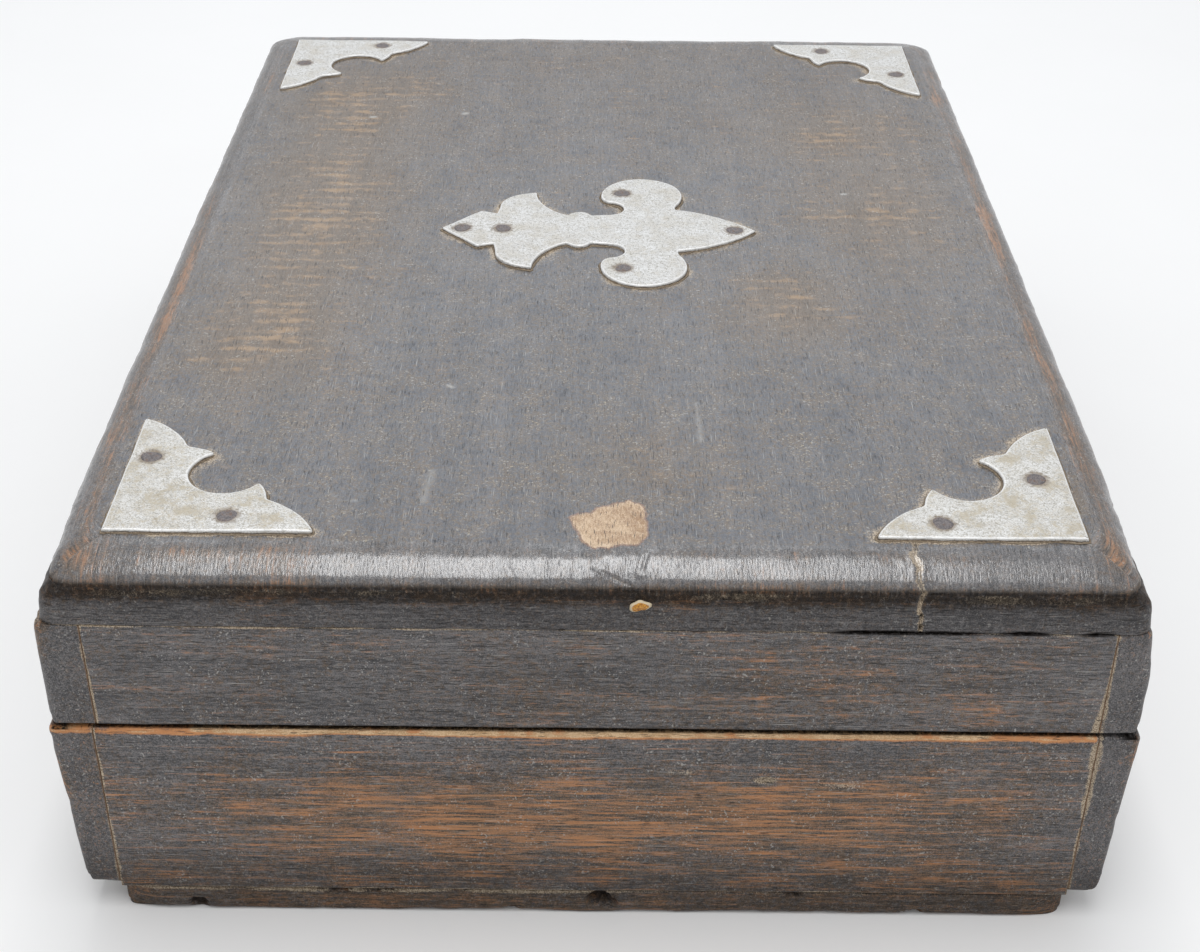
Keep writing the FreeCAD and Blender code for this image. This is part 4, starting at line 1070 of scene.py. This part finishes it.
def old_brass():
    """Yellow metal gone brown and dull except where hands and joints rub it."""
    s = Shader("old_brass")
    cloud = s.noise(s.spot, 3.2, 4, 0.6, 0.4, 1)
    fine = s.noise(s.spot, 0.5, 3, 0.6, 0, 2)
    colour = s.mix(s.between(cloud, 0.4, 0.68), (0.42, 0.29, 0.12), (0.16, 0.10, 0.05))
    colour = s.mix(s.times(s.between(fine, 0.6, 0.75), 0.6), colour, (0.07, 0.05, 0.03))
    rough = s.between(cloud, 0.35, 0.7, 0.32, 0.6)
    return s.finish(colour, rough, [(fine, 0.03), (cloud, 0.05)], Metallic=0.95)


def dirt_and_shade():
    """Packed dust and old polish, near black against the metal, where it is also painted shade under the
    plate's edge.
    """
    s = Shader("dirt_and_shade")
    grit = s.noise(s.spot, 0.4, 4, 0.65, 0.2, 1)
    out = s.between(s.plus(s.value("out"), s.around(grit, 0.8)), 0.2, 0.8)
    # The near-black inner part is grime with painted shade from the plate's edge
    packed = s.mix(grit, (0.020, 0.014, 0.010), (0.08, 0.055, 0.035))
    return s.finish(s.mix(out, packed, s.mix(grit, DUST_BROWN, DUST_PALE)), 0.85, [(grit, 0.08)])


silver, nail_iron, brass, grime_and_shade = old_silver(), old_iron(), old_brass(), dirt_and_shade()


def dress(node, material, ease_width):
    """Give a CAD node its material and eased edges."""
    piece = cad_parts[node]
    piece.data.materials.clear()
    piece.data.materials.append(material)
    piece.modifiers.new("weld", "WELD").merge_threshold = 1e-6
    bevel = piece.modifiers.new("ease", "BEVEL")
    bevel.width = ease_width * MM
    bevel.segments = 2
    bevel.limit_method = "ANGLE"
    bevel.angle_limit = math.radians(32)
    bevel.use_clamp_overlap = True


dress("bottom_brads", nail_iron, 0.1)
for node in ("near_hinge_lid_leaf", "far_hinge_lid_leaf", "near_hinge_base_leaf", "far_hinge_base_leaf",
             "near_hinge_pin", "far_hinge_pin", "hinge_lid_screws", "hinge_base_screws", "hook",
             "hook_pivot_screw", "hook_stud"):
    dress(node, brass, 0.12)


def close_tips(mesh, above):
    """Fill the pinholes left in a plate's top where its rolled rim folds over itself at a sharp tip."""
    edit = bmesh.new()
    edit.from_mesh(mesh)
    around = [edge for edge in edit.edges if edge.is_boundary and min(v.co.z for v in edge.verts) > above]
    for face in bmesh.ops.holes_fill(edit, edges=around, sides=0)["faces"]:
        face.smooth = True
    edit.to_mesh(mesh)
    edit.free()


# The rolled edge of a plate: inset, height from the top and how far it is painted bright, as rubbed metal
# and a painted highlight
ROLLED = [(0.0, -0.34, 0.4), (0.07, -0.15, 1.0), (0.24, -0.04, 0.8)]


def mount_plate(node):
    """A mount of thin sheet with rolled edges, sunk a little round its nails and never quite flat."""
    (low, high), spots = box_mm(node), cut_outlines[node]
    into = inward_of(spots)
    count, foot, top = len(spots), low[Z], high[Z]
    rows = [flat_to_solid(spots, foot - 0.05)]
    rows += [flat_to_solid(spots + into * inset, top + up) for inset, up, bright in ROLLED]
    rim = spots + into * RIM_INSET
    fill = np.stack(np.meshgrid(*(np.arange(low[k], high[k], FILL_STEP) for k in (X, Y))), -1).reshape(-1, 2)
    fill = fill[inside_outline(fill, [tuple(spot) for spot in spots])]
    fill = fill[along_path(fill, list(rim) + [rim[0]]) > 0.45]
    ring = [(k, (k + 1) % count) for k in range(count)]
    meshed = delaunay_2d_cdt([Vector(spot) for spot in np.vstack([rim, fill])], ring, [], 1, 1e-6)
    inner = flat_to_solid(np.array([tuple(spot) for spot in meshed[0]]), top)
    origin = {k: n for n, olds in enumerate(meshed[3]) for k in olds if k < count}
    last, base = (len(rows) - 1) * count, len(rows) * count
    under = base + len(inner)
    faces = strips(count, len(rows))
    faces += [(last + a, last + b, base + origin[b], base + origin[a]) for a, b in ring]
    faces += [tuple(base + k for k in face) for face in meshed[2]]
    faces.append(tuple(range(under + count - 1, under - 1, -1)))
    points = np.concatenate(rows + [inner, rows[0]])
    near_nail = sum(bell(np.linalg.norm(points[:, :2] - spot[:2], axis=1), 3.0) for spot in nail_spots)
    plan = points * [1, 1, 0]
    height = 0.11 * layers(plan, 13, 480, 2) + 0.03 * layers(plan, 3.0, 482, 2)
    height = height * (1 - near_nail) - 0.17 * near_nail
    points[:, Z] += np.where(points[:, Z] > foot + 0.1, height, 0)
    # shine carries the rim's painted brightness, part rubbed metal and part painted highlight
    shine = np.repeat([0.0] + [bright for inset, up, bright in ROLLED], count)
    plate = new_piece(node + "_plate", points, faces, silver, "lid", "mount_metal", [node],
                      rim=np.concatenate([shine, np.zeros(len(inner) + count)]))
    close_tips(plate.data, (foot + 0.1) * MM)


def mount_grime_and_shade(node):
    """A thin uneven fillet of grime round a mount, against the lid; its near-black inner part, rising up the
    plate's side, is painted shade as well as grime.
    """
    spots, foot = cut_outlines[node], box_mm(node)[0][Z]
    outward, count, solid = -inward_of(spots), len(spots), flat_to_solid(spots)
    width = np.clip(0.42 + 0.30 * layers(solid, 3.0, 500) + 0.14 * field(solid, 0.8, 501), 0.10, 1.1)
    rise = np.clip(0.36 + 0.18 * layers(solid, 2.4, 502), 0.10, 0.58)
    profile = [(-0.10, rise), (0.30 * width, 0.42 * rise), (width, -0.03), (-0.10, -0.12)]
    points = np.concatenate([flat_to_solid(spots + outward * np.broadcast_to(out, count)[:, None], foot + up)
                             for out, up in profile])
    faces = [(a * count + k, b * count + k, b * count + (k + 1) % count, a * count + (k + 1) % count)
             for a, b in ((0, 1), (1, 2), (2, 3), (3, 0)) for k in range(count)]
    out = np.repeat([0.0, 0.45, 1.0, 0.0], count)
    new_piece(node + "_grime_and_shade", points, faces, grime_and_shade, "lid", out=out)


# A nail's head: its radius, how deep it is dished, how far its rim rolls down and the foot of its skirt
NAIL_RADIUS, NAIL_DISH, NAIL_ROLL, NAIL_SKIRT, NAIL_FOOT = 1.95, 0.10, 0.16, 0.3, 0.56


def nail_heads(node, spots):
    """Flat hand-made nail heads, a little ragged and dished, sunk in their mount."""
    count, rings = 26, 5
    turn = np.linspace(0, 2 * math.pi, count, endpoint=False)
    turns = [(k, (k + 1) % count) for k in range(count)]
    blocks, faces = [], []
    for number, spot in enumerate(spots):
        ragged = 1 + 0.08 * np.sin(2 * turn + 1.9 * number) + 0.05 * np.sin(3 * turn + 0.7 * number)
        start = number * (rings * count + count + 2)
        blocks.append(spot + [[0, 0, -NAIL_DISH]])
        for ring in range(1, rings + 1):
            share = ring / rings
            reach = NAIL_RADIUS * share * ragged
            height = np.full(count, NAIL_DISH * share**2 - NAIL_DISH - (NAIL_ROLL if ring == rings else 0.0))
            blocks.append(spot + np.stack([reach * np.cos(turn), reach * np.sin(turn), height], -1))
        blocks += [blocks[-1] - [[0, 0, NAIL_SKIRT]], spot + [[0, 0, -NAIL_FOOT]]]
        faces += [(start, start + 1 + a, start + 1 + b) for a, b in turns]
        for low in range(start + 1, start + 1 + rings * count, count):
            faces += [(low + a, low + count + a, low + count + b, low + b) for a, b in turns]
        foot = start + 1 + rings * count
        faces += [(foot + b, foot + a, foot + count) for a, b in turns]
    points = np.concatenate(blocks)
    points[:, Z] += 0.03 * layers(points, 1.0, 520, 2)
    new_piece(node + "_heads", points, faces, nail_iron, "lid", "nail_iron", [node])


for node in MOUNTS:
    mount_plate(node)
    mount_grime_and_shade(node)
nail_heads("corner_mount_nails", CORNER_NAILS)
nail_heads("centre_mount_nails", CENTRE_NAILS)

# Floor, lamps and world
FLOOR_HALF = 4.0
SEEN_COLOUR, SEEN_STRENGTH = (0.93, 0.96, 0.99, 1), 0.98
LIGHT_COLOUR, LIGHT_STRENGTH = (0.97, 0.98, 1.0, 1), 0.63


def make_stage():
    """The plain pale floor under the box."""
    s = Shader("floor")
    cloud = s.noise(s.spot, 60, 3, 0.5, 0, 1)
    mesh = bpy.data.meshes.new("floor")
    corners = [(x * FLOOR_HALF, y * FLOOR_HALF, 0) for x, y in ((-1, -1), (1, -1), (1, 1), (-1, 1))]
    mesh.from_pydata(corners, [], [(0, 1, 2, 3)])
    mesh.materials.append(s.finish(s.mix(cloud, (0.90, 0.898, 0.892), (0.925, 0.925, 0.922)), 0.6, ()))
    floor = bpy.data.objects.new("floor", mesh)
    bpy.context.scene.collection.objects.link(floor)


def lamp(name, place, aim, size, radiance, colour=(1, 1, 1)):
    """A rectangular softbox of the given radiance that looks at a point."""
    data = bpy.data.lights.new(name, "AREA")
    data.shape = "RECTANGLE"
    data.size, data.size_y = size
    data.energy = radiance * math.pi * size[0] * size[1]
    data.color = colour
    light = bpy.data.objects.new(name, data)
    light.location = place
    light.rotation_mode = "QUATERNION"
    light.rotation_quaternion = (Vector(aim) - Vector(place)).to_track_quat("-Z", "Y")
    bpy.context.scene.collection.objects.link(light)


def make_world():
    """An even pale surround: dimmer as light than as the background that is seen."""
    world = bpy.data.worlds.new("surround")
    bpy.context.scene.world = world
    world.use_nodes = True
    nodes, links = world.node_tree.nodes, world.node_tree.links
    nodes.clear()
    mix = nodes.new("ShaderNodeMixShader")
    links.new(nodes.new("ShaderNodeLightPath").outputs["Is Camera Ray"], mix.inputs[0])
    for socket, colour, strength in ((1, LIGHT_COLOUR, LIGHT_STRENGTH), (2, SEEN_COLOUR, SEEN_STRENGTH)):
        background = nodes.new("ShaderNodeBackground")
        background.inputs["Color"].default_value = colour
        background.inputs["Strength"].default_value = strength
        links.new(background.outputs[0], mix.inputs[socket])
    links.new(mix.outputs[0], nodes.new("ShaderNodeOutputWorld").inputs[0])


make_stage()
make_world()
lamp("overhead", (-0.03, -0.16, 1.2), (-0.03, -0.12, 0), (0.40, 1.30), 4.6)
lamp("back_window", (0.0, 1.5, 1.05), (0, 0, 0.05), (1.5, 0.7), 1.3, (0.86, 0.93, 1.0))
